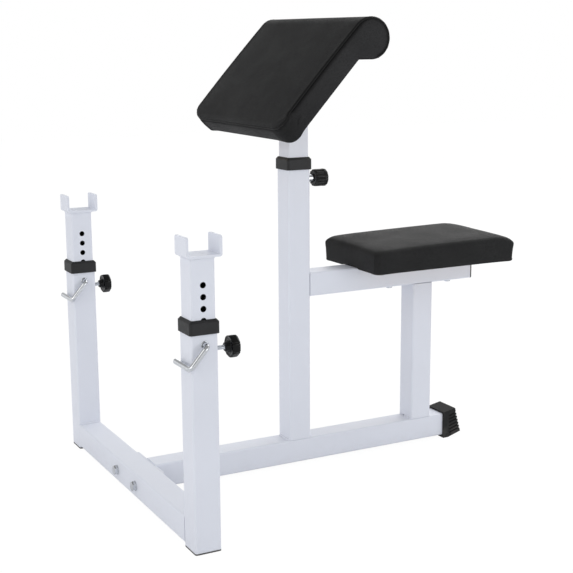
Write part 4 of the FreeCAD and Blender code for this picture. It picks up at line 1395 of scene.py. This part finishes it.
@dataclass
class ArmPad(Cushion):
    """The sloped arm pad with its roll, boxed with a side band that is sewn to the top panel."""

    origin: Triple = (-0.0486, 0.0, 0.8120)
    slope: float = 47.6
    askew: float = 0.4
    half_width: float = 0.2028
    low_end: float = 0.1560
    thick: float = 0.0458
    edge: float = 0.0022
    brow: float = 0.0110
    heel: float = 0.0025
    under_edge: float = 0.002
    least_edge: float = 0.0003
    band_bulge: float = 0.0012
    band_shares: Sequence[float] = (0.05, 0.2, 0.5, 0.8)
    corner: float = 0.036
    corner_shares: Sequence[float] = (0.11, 0.16, 0.22, 0.29, 0.37, 0.47, 0.6, 0.72, 0.85, 1.0)
    heel_share: float = 0.65
    crown: float = 0.0020
    crown_fade: float = 0.4
    corner_sag: float = 0.0045
    roll_u: float = 0.0955
    roll_v: float = 0.0060
    roll_radius: float = 0.0398
    slack: float = 0.0003
    under_steps: int = 24
    web_steps: int = 8
    roll_steps: int = 60
    top_steps: int = 78
    edge_steps: int = 8
    row_pitch: float = 0.004
    bed_ends: Pair = (-0.134, 0.044)
    bed_half: float = 0.184
    bed_depth: float = 0.004
    rest_height: float = 0.006
    rest_end: float = 0.050
    pucker_pitch: float = 0.0145
    pucker_height: float = 0.00025
    welt: float = 0.0021
    welt_step: float = 0.003
    stitch: float = 0.0032
    stitch_pitch: float = 0.0042
    stitch_aside: float = 0.0040
    stitch_above: float = 0.001
    fold_reach: float = 0.0045
    least_fold: float = 0.003
    side_fold_reach: float = 0.010
    corner_shade: float = 0.42
    corner_shade_length: float = 0.10
    corner_shade_width: float = 0.045
    groove: Sequence[float] = (0.0058, 0.0058, 0.0055, 0.0050, 0.0042, 0.0030, 0.0018)
    cross_groove: Sequence[float] = (0.0024, 0.0014, 0.0006)
    panel: Sequence[Pair] = (
        (0.0180, 0.0018), (0.0135, 0.0014), (0.0105, 0.0002),
        (0.0080, -0.0016), (0.0055, -0.0038), (0.0028, -0.0052),
    )

    @property
    def ring_size(self) -> int:
        """Number of points in each outline."""
        return len(self.outline(0.0, 0.0, 0.0, 0.0, self.brow))

    @property
    def seam_start(self) -> int:
        """Number of the outline's point at which the seam starts, under the roll."""
        return self.under_steps + self.web_steps + self.roll_steps // 12

    @property
    def seam_end(self) -> int:
        """Number of the outline's point at which the seam crosses, below the rounded lower edge."""
        return self.under_steps + self.web_steps + self.roll_steps + self.top_steps + self.edge_steps

    def outline(self, y: float, inset: float, trim: float, under: float, brow: float) -> Ring:
        """Outline of the pad at a place across the bench.

        Args:
            y: Place across the bench.
            inset: How far the face and the roll are drawn in.
            trim: How far the lower end is drawn in.
            under: How far the underside is drawn in.
            brow: Rounding of the face's lower edge, down to the seam.

        Returns:
            The outline's points, from the underside round the roll and down the face.
        """
        low = trim + self.slack - self.low_end
        heel = trim * self.heel_share + self.slack - self.low_end
        top = self.thick - self.slack - inset
        radius = self.roll_radius - self.slack - inset
        edge = max(self.least_edge, brow - inset)
        crown = self.crown * (1 - self.crown_fade * (y / self.half_width) ** 4)
        contact = 270 - self.slope
        touch = arc((self.roll_u, self.roll_v), radius, contact, contact, 1)[0]
        meet = touch[0] + (touch[1] - under) / math.tan(math.radians(self.slope))
        start = heel + self.heel
        line = [(start + (meet - start) * i / self.under_steps, under) for i in range(self.under_steps)]
        for i in range(self.web_steps):
            share = i / self.web_steps
            line.append((meet + (touch[0] - meet) * share, under + (touch[1] - under) * share))
        line += arc((self.roll_u, self.roll_v), radius, contact, 450, self.roll_steps)
        crest, end = self.roll_v + radius, low + edge
        for i in range(1, self.top_steps):
            share = i / self.top_steps
            rise = crest + (top - crest) * share + crown * 4 * share * (1 - share)
            line.append((self.roll_u + (end - self.roll_u) * share, rise))
        line += arc((low + edge, top - edge), edge, 90, 180, self.edge_steps)
        band = top - edge
        for share in self.band_shares:
            bulge = self.band_bulge * math.sin(math.pi * share) if inset < self.edge else 0.0
            line.append((low + (heel - low) * share - bulge, band + (under + self.heel - band) * share))
        line += arc((heel + self.heel, under + self.heel), self.heel, 180, 255, 5)
        return [Vector((u, y, v - self.sag(u, y, v))) for u, v in line]

    def sag(self, u: float, y: float, v: float) -> float:
        """How far the pad's lower corners bulge below its underside.

        Args:
            u: Place up the slope.
            y: Place across the bench.
            v: Height above the underside.

        Returns:
            The drop.
        """
        length, length_fade = 0.030, 0.024
        width, width_fade = 0.070, 0.050
        height = 0.030
        along = held((length - (u + self.low_end)) / length_fade)
        across = held((abs(y) - self.half_width + width) / width_fade)
        return self.corner_sag * along * across * held(1.0 - v / height)

    def rows(self) -> list[tuple[float, float, float, float, float]]:
        """Measures of each outline, from the end of the pad to its middle.

        Returns:
            Distance in from the end, inset, trim, under and brow of each.
        """
        half = self.half_width - self.slack
        steps = [(self.edge * (1 - math.cos(math.radians(turn))), turn) for turn in range(0, 91, 15)]
        steps += [(self.corner * share, 90) for share in self.corner_shares]
        rows = []
        for step, turn in steps:
            share = min(1.0, step / self.corner)
            brow = self.edge + (self.brow - self.edge) * math.sqrt(share * (2 - share))
            inset = self.edge * (1 - math.sin(math.radians(turn)))
            trim, under = rounding(self.corner, step), rounding(self.under_edge, step)
            rows.append((step, inset, trim, under, brow))
        count = round((half - self.corner) / self.row_pitch)
        inner = [self.corner + (half - self.corner) * i / count for i in range(1, count + 1)]
        return rows + [(step, 0.0, 0.0, 0.0, self.brow) for step in inner]

    def cover(self) -> bpy.types.Object:
        """Skins the outlines, with the side panels inside the two ends and the seam drawn in.

        Returns:
            The cover, in the pad's own axes.
        """
        near, far = (self.side_panel(sign) + self.half_cover(sign) for sign in (-1, 1))
        return new_piece(self.name, *skin(near + far[-2::-1]))

    def side_panel(self, sign: int) -> list[Ring]:
        """Draws the outlines of a side panel, which puffs out inside its seam.

        Args:
            sign: Direction of the side along Y.

        Returns:
            The outlines, from the middle of the panel outwards.
        """
        rings = []
        for more, puff in self.panel:
            y = sign * (self.half_width - self.slack)
            ring = self.outline(y, self.edge + more, self.corner + more, self.under_edge + more, self.edge)
            for i, point in enumerate(ring):
                point.y += sign * (puff if puff > 0 else puff * self.pull(i))
            rings.append(ring)
        return rings

    def half_cover(self, sign: int) -> list[Ring]:
        """Draws the outlines from a side to the middle of the pad.

        Args:
            sign: Direction of the side along Y.

        Returns:
            The outlines, with the seam drawn in and the underside bedded.
        """
        rings = []
        for number, (step, inset, trim, under, brow) in enumerate(self.rows()):
            ring = self.outline(sign * (self.half_width - self.slack - step), inset, trim, under, brow)
            if number < len(self.groove):
                for i, point in enumerate(ring):
                    point.y -= sign * self.groove[number] * self.pull(i)
            turn = math.acos(1 - min(1.0, step / self.corner))
            inward = Vector((math.sin(turn), -sign * math.cos(turn), 0))
            for offset, depth in ((0, 0), (-1, 1), (-2, 2), (1, 1)):
                ring[self.seam_end + offset] += inward * self.cross_groove[depth]
            self.bed(ring)
            rings.append(ring)
        return rings

    def pull(self, i: int) -> float:
        """How strongly the side's seam is drawn in.

        Args:
            i: Number of the outline's point.

        Returns:
            A share from 0 to 1.
        """
        start_steps, roll_least, roll_quarters = 4, 0.25, 2.6
        end_share, before_end, past_end = 0.5, 0.05, 0.25
        way, tail = i - self.seam_start, self.seam_end - i
        round_roll = min(1.0, max(roll_least, way / (self.roll_steps / 4) - roll_quarters))
        end = end_share + (before_end if tail > 0 else past_end) * tail
        return max(0.0, min(way / start_steps, round_roll, end))

    def bed(self, ring: Ring) -> None:
        """Draws the underside in behind the board, so that the board closes the pad.

        Args:
            ring: An outline of the pad.
        """
        low, high = self.bed_ends
        for point in ring[:self.under_steps]:
            if low < point.x < high and abs(point.y) < self.bed_half:
                point.z += self.bed_depth

    def rests(self, point: Vector) -> bool:
        """Whether a point lies on the board's side of the pad."""
        return point.z < self.rest_height and point.x < self.rest_end

    def seam(self, piece: bpy.types.Object) -> list[Vector]:
        """The one long seam: round the roll's ends, down both sides and across under the lower brow.

        Args:
            piece: The cover.

        Returns:
            Points along the seam.
        """
        points = [vertex.co for vertex in piece.data.vertices]
        count = self.ring_size
        first = len(self.panel)
        last = len(points) // count - 1 - first
        near = [points[first * count + i].copy() for i in range(self.seam_start, self.seam_end)]
        across = [points[j * count + self.seam_end].copy() for j in range(first, last + 1)]
        far = [points[last * count + i].copy() for i in range(self.seam_start, self.seam_end)]
        return near + across + far[::-1]

    def sewn(self, piece: bpy.types.Object) -> list[Vector]:
        """Points of the seam."""
        return self.seam(piece)

    def sew(self, piece: bpy.types.Object) -> None:
        """Puckers the cover, then lays the welt and two rows of stitches along the seam.

        Args:
            piece: The cover.
        """
        self.pucker(piece, self.seam(piece), self.pucker_pitch, self.pucker_height)
        line = self.seam(piece)
        self.crease(piece, line)
        welt = self.cord(f"{self.name}_welt", self.spaced(line, self.welt_step), self.welt)
        surface = self.surface(piece)
        rows = []
        marks = self.spaced(line, self.stitch_pitch)
        for before, mark, after in zip(marks, marks[1:], marks[2:]):
            along = (after - before).normalized()
            _, normal, _, _ = surface.find_nearest(mark)
            aside = normal.cross(along).normalized() * self.stitch_aside
            above = normal * self.stitch_above
            for way in (-1, 1):
                place, out, _, _ = surface.find_nearest(mark + aside * way + above)
                rows.append((place, along, out))
        threads = self.stitches(f"{self.name}_stitches", rows, self.stitch)
        for extra in (welt, threads):
            self.place(extra)
            dress(extra, SEAM_THREAD, self.body)

    def crease(self, piece: bpy.types.Object, line: Sequence[Vector]) -> None:
        """Marks how far each point lies in the shade of the seam's fold or of a lower corner.

        Args:
            piece: The cover.
            line: The seam.
        """
        marks = piece.data.attributes.new(FOLD_MARK, "FLOAT", "POINT")
        count = self.ring_size
        rows = len(piece.data.vertices) // count
        step, strength = 0.002, 1.15
        tree = self.tree(self.spaced(line, step))
        for i, vertex in enumerate(piece.data.vertices):
            row, place = divmod(i, count)
            on_side = self.on_side(row, rows)
            at_end = abs(vertex.co.y) > self.half_width - self.corner_shade_width
            reach = self.side_fold_reach * self.pull(place) if on_side else self.fold_reach
            mark = max(0.0, 1.0 - tree.find(vertex.co)[2] / max(self.least_fold, reach))
            if on_side or (at_end and place >= self.seam_end):
                far = (vertex.co.x + self.low_end) / self.corner_shade_length
                mark = max(mark, self.corner_shade * (1.0 - far))
            marks.data[i].value = min(1.0, strength * mark)

    def on_side(self, row: int, rows: int) -> bool:
        """Whether a row of the cover's points or faces belongs to a side panel."""
        return row < len(self.panel) or row >= rows - len(self.panel)

    def build(self) -> bpy.types.Object:
        """Makes the pad, with its side band and lower face in a lighter copy of its vinyl, as painted
        light.

        Returns:
            The pad in place of its node.
        """
        piece = super().build()
        piece.data.materials.append(LIT_BAND_VINYL.material())
        count = self.ring_size
        rows = len(piece.data.vertices) // count - 1
        # side panels and the faces below the lower seam take the lighter copy, as painted light
        for number, face in enumerate(piece.data.polygons):
            row, place = divmod(number, count)
            face.material_index = int(self.on_side(row, rows) or place >= self.seam_end)
        return piece

    def place(self, piece: bpy.types.Object) -> None:
        """Tilts a piece to the pad's slope, a little askew on its post.

        Args:
            piece: The cover or a piece of its seam.
        """
        askew = Matrix.Rotation(math.radians(self.askew), 4, "X")
        slope = Matrix.Rotation(-math.radians(self.slope), 4, "Y")
        piece.data.transform(Matrix.Translation(self.origin) @ askew @ slope)


@dataclass
class SeatPad(Cushion):
    """The seat: one piece of vinyl drawn over foam and pleated at its corners."""

    middle: float = 0.2625
    half_length: float = 0.179
    half_width: float = 0.1105
    floor: float = 0.412
    thick: float = 0.0508
    edge: float = 0.0095
    tuck: float = 0.0012
    corner: float = 0.011
    crown: float = 0.0034
    front_drop: float = 0.0028
    front_from: float = 0.85
    back_drop: float = 0.0082
    back_from: float = 0.72
    corner_drop: float = 0.0030
    lean: float = 0.0022
    dip: float = 0.0034
    slack: float = 0.0003
    heel: float = 0.003
    lip: float = 0.0025
    lip_height: float = 0.014
    lip_width: float = 0.0175
    lip_fade: float = 0.006
    wear_height: float = 0.015
    rail_half: float = 0.027
    rail_fade: float = 0.008
    board_room: float = 0.004
    board_rows: Sequence[float] = (0.030, 0.018)
    under_row: float = 0.0165
    crown_end: float = 0.006
    bend_steps: int = 18
    length_steps: int = 56
    width_steps: int = 32
    wall_rows: int = 12
    crown_rows: int = 17
    rest_height: float = 0.006
    pleats: Sequence[Pair] = ((22, 0.026), (45, 0.034), (68, 0.028))
    pleat_foot: float = 0.0035
    pleat_depth: float = 0.0012
    pleat_half: float = 0.0040
    pleat_steps: int = 24

    def ring(self, inset: float, z: float) -> Ring:
        """Outline of the seat at a height.

        Args:
            inset: How far it is drawn in.
            z: The height.

        Returns:
            The outline's points, evenly divided.
        """
        length, width = self.half_length - inset, self.half_width - inset
        radius = min(self.corner + 1.2 * inset, 0.9 * width)
        corners = []
        for quarter, (a, b) in enumerate(QUARTERS):
            centre = (self.middle + a * (length - radius), b * (width - radius))
            corners.append(arc(centre, radius, 90 * quarter, 90 * quarter + 90, self.bend_steps))
        outline = []
        for i, bend in enumerate(corners):
            outline += bend
            here, there = Vector(bend[-1]), Vector(corners[(i + 1) % 4][0])
            count = self.length_steps if i % 2 == 0 else self.width_steps
            outline += [tuple(here.lerp(there, k / count)) for k in range(1, count)]
        return [Vector((x, y, z)) for x, y in outline]

    def cover(self) -> bpy.types.Object:
        """Skins outlines from behind the board, over the rounded edge and up to the crown.

        Returns:
            The cover, where it stands on the bench.
        """
        rings = self.level_rings()
        for point in (point for ring in rings for point in ring):
            height = point.z - self.floor
            if height > self.wear_height:
                share = (height - self.wear_height) / (self.thick - self.wear_height)
                point.z += self.rise(point) * min(1.0, share)
            elif height < self.lip_height:
                point.z -= self.droop(point) * (1 - max(0.0, height) / self.lip_height)
        return new_piece(self.name, *skin(rings))

    def level_rings(self) -> list[Ring]:
        """Draws the level outlines, before wear.

        Returns:
            The outlines, from behind the board up to the middle of the top.
        """
        top = self.floor + self.thick - self.slack
        rings = [self.ring(inset, self.floor + self.board_room) for inset in self.board_rows]
        rings.append(self.ring(self.under_row, self.floor))
        for degrees in (0, 30, 60, 90):
            turn = math.radians(degrees)
            inset = self.slack + self.tuck + self.heel * (1 - math.sin(turn))
            rings.append(self.ring(inset, self.floor + self.heel * (1 - math.cos(turn))))
        wall = self.thick - self.slack - self.edge - self.heel
        for i in range(1, self.wall_rows + 1):
            share = i / self.wall_rows
            inset = self.slack + self.tuck * (1 - share) ** 1.6
            rings.append(self.ring(inset, self.floor + self.heel + wall * share))
        for degrees in range(10, 91, 10):
            turn = math.radians(degrees)
            inset = self.slack + self.edge * (1 - math.cos(turn))
            rings.append(self.ring(inset, top - self.edge * (1 - math.sin(turn))))
        first = self.slack + self.edge
        across = self.half_width - first - self.crown_end
        for i in range(1, self.crown_rows + 1):
            rings.append(self.ring(first + across * i / self.crown_rows, top))
        return rings

    def droop(self, point: Vector) -> float:
        """How far the lower edge hangs beside the rail, most of all at the corners.

        Args:
            point: A point of the cover.

        Returns:
            The drop, in metres.
        """
        along, across = abs(point.x - self.middle), abs(point.y)
        beside = held((across - self.rail_half) / self.rail_fade)
        out = max(along - self.half_length, across - self.half_width)
        outer = held((out + self.lip_width) / self.lip_fade)
        corner = (along / self.half_length * across / self.half_width) ** 6
        return self.lip * (1 + 0.8 * corner) * beside * outer

    def rise(self, point: Vector) -> float:
        """How far the worn top lies above its level: domed, low at the ends and on the left.

        Args:
            point: A point of the cover.

        Returns:
            The rise, in metres.
        """
        along = (point.x - self.middle) / self.half_length
        across = point.y / self.half_width
        front = max(0.0, -along - self.front_from) / (1 - self.front_from)
        back = max(0.0, along - self.back_from) / (1 - self.back_from)
        dome = self.crown * (1 - along ** 8) * (1 - across ** 10)
        drop = self.front_drop * front * front + self.back_drop * back * back
        drop += self.corner_drop * (along * across) ** 4
        return dome - drop + self.lean * across + self.dip * along

    def rests(self, point: Vector) -> bool:
        """Whether a point lies on the underside."""
        return point.z < self.floor + self.rest_height

    def sew(self, piece: bpy.types.Object) -> None:
        """Presses three pleats into each corner, below the upper edge.

        Args:
            piece: The cover.
        """
        surface = self.surface(piece)
        along, across = self.half_length - self.corner, self.half_width - self.corner
        outside = 0.08
        for a, b in ((-1, -1), (-1, 1), (1, -1), (1, 1)):
            centre = Vector((self.middle + a * along, b * across, self.floor + self.pleat_foot))
            for degrees, height in self.pleats:
                turn = math.radians(degrees)
                out = Vector((a * math.cos(turn), b * math.sin(turn), 0))
                pleat = []
                for i in range(self.pleat_steps + 1):
                    start = centre + out * outside + Z_AXIS * (height * i / self.pleat_steps)
                    place, _, _, _ = surface.ray_cast(start, -out)
                    if place is not None:
                        pleat.append(place)
                self.press(piece, pleat, self.pleat_depth, self.pleat_half)


@dataclass
class ArmRest(SubAssembly):
    """The sliding post with its slanted plate, board, fasteners and arm pad."""

    plate_slope: float = 48.0
    plate_top: Triple = (-0.0485, 0.0, 0.8125)
    plate_thick: float = 0.004
    plate_weld: float = 0.0024
    post: float = 0.045
    post_corner: float = 0.003

    def build(self) -> None:
        """Dresses the post and makes its weld and pad."""
        self.coat(("arm_pad_post",), WHITE_PAINT)
        self.coat(("arm_pad_plate",), WHITE_PAINT, Edge.SAWN)
        self.coat(("arm_pad_board",), BIRCH_PLY, Edge.SAWN)
        self.coat(("arm_pad_bolts", "arm_pad_washers", "arm_pad_tee_nuts"), BRIGHT_ZINC, Edge.SMALL_STEEL)
        ArmPad(self.nodes, "arm_pad_cover", "arm_pad", "arm_rest").build()
        slope = math.radians(self.plate_slope)
        tilt = Matrix.Rotation(-slope, 3, "Y")
        up_slope = tilt @ X_AXIS
        below = Vector(self.plate_top) - tilt @ Z_AXIS * self.plate_thick
        middle = below + up_slope * (self.plate_thick * math.tan(slope))
        half = (self.post / 2 / math.cos(slope), self.post / 2)
        bead = WeldBead("arm_plate_weld", "arm_rest", leg=self.plate_weld)
        bead.around(middle, (up_slope, -Y_AXIS), half, self.post_corner)


@dataclass
class Seat(SubAssembly):
    """The seat rail on its post, with the seat bolted on."""

    weld_half: float = 0.021
    vent_y: float = 0.008
    vent_room: float = 0.0055
    swell: float = 0.0010

    def build(self) -> None:
        """Dresses the rail and makes its welds and pad."""
        self.coat(("seat_rail", "seat_post"), WHITE_PAINT)
        self.coat(("seat_rail_plug",), GREY_PLASTIC, Edge.MOULDED)
        self.coat(("seat_board",), BIRCH_PLY, Edge.SAWN)
        self.coat(("seat_bolts", "seat_washers", "seat_tee_nuts"), BRIGHT_ZINC, Edge.SMALL_STEEL)
        self.post_welds()
        self.rail_welds()
        SeatPad(self.nodes, "seat_cover", "seat_pad", "frame", most=self.swell).build()

    def post_welds(self) -> None:
        """Welds the post to the floor tube, with a gap at the vent hole, and to the rail."""
        low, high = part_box("seat_post")
        left, right = -self.weld_half, self.weld_half
        foot, head = (low.z, Z_AXIS), (high.z, -Z_AXIS)
        front, back = (low.x, -X_AXIS), (high.x, X_AXIS)
        runs = (
            ("foot_front_left", front, foot, left, self.vent_y - self.vent_room),
            ("foot_front_right", front, foot, self.vent_y + self.vent_room, right),
            ("foot_back", back, foot, left, right),
            ("head_front", front, head, left, right),
            ("head_back", back, head, left, right),
        )
        for label, (x, out), (z, rise), first, last in runs:
            bead = WeldBead(f"seat_post_{label}_weld", "frame")
            bead.straight(Vector((x, first, z)), Vector((x, last, z)), out, rise)

    def rail_welds(self) -> None:
        """Welds the rail's end to the column, above and below."""
        low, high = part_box("seat_rail")
        for label, z, rise in (("top", high.z, Z_AXIS), ("bottom", low.z, -Z_AXIS)):
            start, end = (Vector((low.x, y, z)) for y in (-self.weld_half, self.weld_half))
            WeldBead(f"seat_rail_{label}_weld", "frame").straight(start, end, X_AXIS, rise)


@dataclass(frozen=True)
class Softbox:
    """A square lamp with soft light."""

    name: str
    place: Triple
    aim: Triple
    size: float
    power: float
    colour: Colour

    def hang(self) -> None:
        """Hangs the lamp and points it at its aim."""
        data = bpy.data.lights.new(self.name, "AREA")
        data.size = self.size
        data.energy = self.power
        data.color = self.colour
        lamp = bpy.data.objects.new(self.name, data)
        lamp.location = self.place
        ahead = Vector(self.aim) - Vector(self.place)
        lamp.rotation_euler = ahead.to_track_quat("-Z", "Y").to_euler()
        bpy.context.scene.collection.objects.link(lamp)


SOFTBOXES = (
    Softbox("key_softbox", (-3.1, -0.7, 1.6), (0.0, 0.0, 0.5), 2.6, 23.5, (1.0, 0.985, 0.96)),
    Softbox("side_softbox", (1.75, -3.4, 0.75), (0.0, 0.0, 0.75), 1.2, 17.0, (0.97, 0.985, 1.0)),
    Softbox("back_softbox", (2.1, 3.0, 1.6), (0.2, 0.0, 0.45), 2.6, 17.0, (1.0, 0.99, 0.98)),
    Softbox("top_softbox", (2.6, 0.9, 2.6), (0.0, 0.0, 0.4), 2.2, 36.0, (1.0, 1.0, 1.0)),
)


@dataclass
class Studio:
    """Plain white studio with soft light and the camera."""

    eye: Triple = (-1.1848, -2.1268, 0.8717)
    yaw: float = 27.74
    pitch: float = -11.5
    roll: float = -0.35
    focal_pixels: float = 1182.88
    picture_pixels: float = 573.0
    sensor: float = 36.0
    floor_half: float = 9.0
    paper_colour: Colour = (0.86, 0.86, 0.87)
    paper_light: float = 1.035
    paper_share: float = 0.93
    sky: Colour = (0.97, 0.985, 1.0)
    sky_from: float = 0.26
    sky_fade: float = 0.36
    low_light: float = 0.90
    high_light: float = 0.66
    high_gloss: float = 0.40

    def build(self) -> None:
        """Sets up floor, world, lamps and camera."""
        self.floor()
        self.world()
        for lamp in SOFTBOXES:
            lamp.hang()
        self.camera()
        bpy.context.scene.view_settings.view_transform = "Standard"

    def white_to_camera(self, sheet: NodeSheet) -> Wire:
        """Tells rays that come from the camera, or by way of metal or glass, from the others.

        Args:
            sheet: The world's sheet.

        Returns:
            1 for these rays.
        """
        seen = [sheet.add("ShaderNodeLightPath", output=number) for number in (0, 3, 6)]
        return seen[0] + seen[1] + seen[2]

    def floor(self) -> None:
        """Pale floor that keeps a faint contact shadow."""
        points = [Vector((a, b, 0.0)) * self.floor_half for a, b in ((-1, -1), (1, -1), (1, 1), (-1, 1))]
        floor = new_piece("studio_floor", points, [(0, 1, 2, 3)])
        paper = bpy.data.materials.new("studio_paper")
        paper.use_nodes = True
        sheet = NodeSheet(paper.node_tree)
        seen = sheet.add("ShaderNodeLightPath", output=0)
        matt = sheet.add("ShaderNodeBsdfDiffuse", None, {"Color": self.paper_colour})
        glow = {"Color": (1.0, 1.0, 1.0), "Strength": self.paper_light}
        white = sheet.add("ShaderNodeEmission", None, glow)
        mixed = sheet.add("ShaderNodeMixShader", None, {0: seen * self.paper_share, 1: matt, 2: white})
        sheet.add("ShaderNodeOutputMaterial", None, {"Surface": mixed})
        floor.data.materials.append(paper)

    def world(self) -> None:
        """Studio light that is strongest near the floor line, white where the camera sees it."""
        world = bpy.data.worlds.new("studio_world")
        world.use_nodes = True
        bpy.context.scene.world = world
        sheet = NodeSheet(world.node_tree)
        height = sheet.axis(sheet.add("ShaderNodeTexCoord", output=0), 2)
        high = height.above(self.sky_from, self.sky_fade)
        level = self.low_light + high * (self.high_light - self.low_light)
        light = sheet.add("ShaderNodeBackground", None, {"Color": self.sky, "Strength": level})
        direct = sheet.add("ShaderNodeLightPath", output=0)
        level = 1.0 - high * (1.0 - direct) * (1.0 - self.high_gloss)
        white = sheet.add("ShaderNodeBackground", None, {"Color": (1.0, 1.0, 1.0), "Strength": level})
        mixed = sheet.add("ShaderNodeMixShader", None, {0: self.white_to_camera(sheet), 1: light, 2: white})
        sheet.add("ShaderNodeOutputWorld", None, {"Surface": mixed})

    def camera(self) -> None:
        """Stands the camera where the photograph was taken from."""
        yaw, pitch, roll = (math.radians(angle) for angle in (self.yaw, self.pitch, self.roll))
        ahead = Vector((
            math.sin(yaw) * math.cos(pitch), math.cos(yaw) * math.cos(pitch), math.sin(pitch),
        ))
        level = Vector((math.cos(yaw), -math.sin(yaw), 0.0))
        upright = level.cross(ahead)
        right = level * math.cos(roll) + upright * math.sin(roll)
        up = upright * math.cos(roll) - level * math.sin(roll)
        data = bpy.data.cameras.new("photo_camera")
        data.sensor_width = self.sensor
        data.lens = self.focal_pixels / self.picture_pixels * data.sensor_width
        camera = bpy.data.objects.new("photo_camera", data)
        turn = Matrix((right, up, -ahead)).transposed().to_4x4()
        camera.matrix_world = Matrix.Translation(self.eye) @ turn
        bpy.context.scene.collection.objects.link(camera)
        bpy.context.scene.camera = camera


def main() -> None:
    """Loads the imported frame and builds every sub-assembly on it."""
    logging.basicConfig(level=logging.INFO, format="%(message)s")
    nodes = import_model()["nodes"]
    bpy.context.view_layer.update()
    Studio().build()
    FloorFrame(nodes).build()
    for side in Side:
        RackSide(nodes, side).build()
    Column(nodes).build()
    Seat(nodes).build()
    ArmRest(nodes).build()


if __name__ == "__main__":
    main()
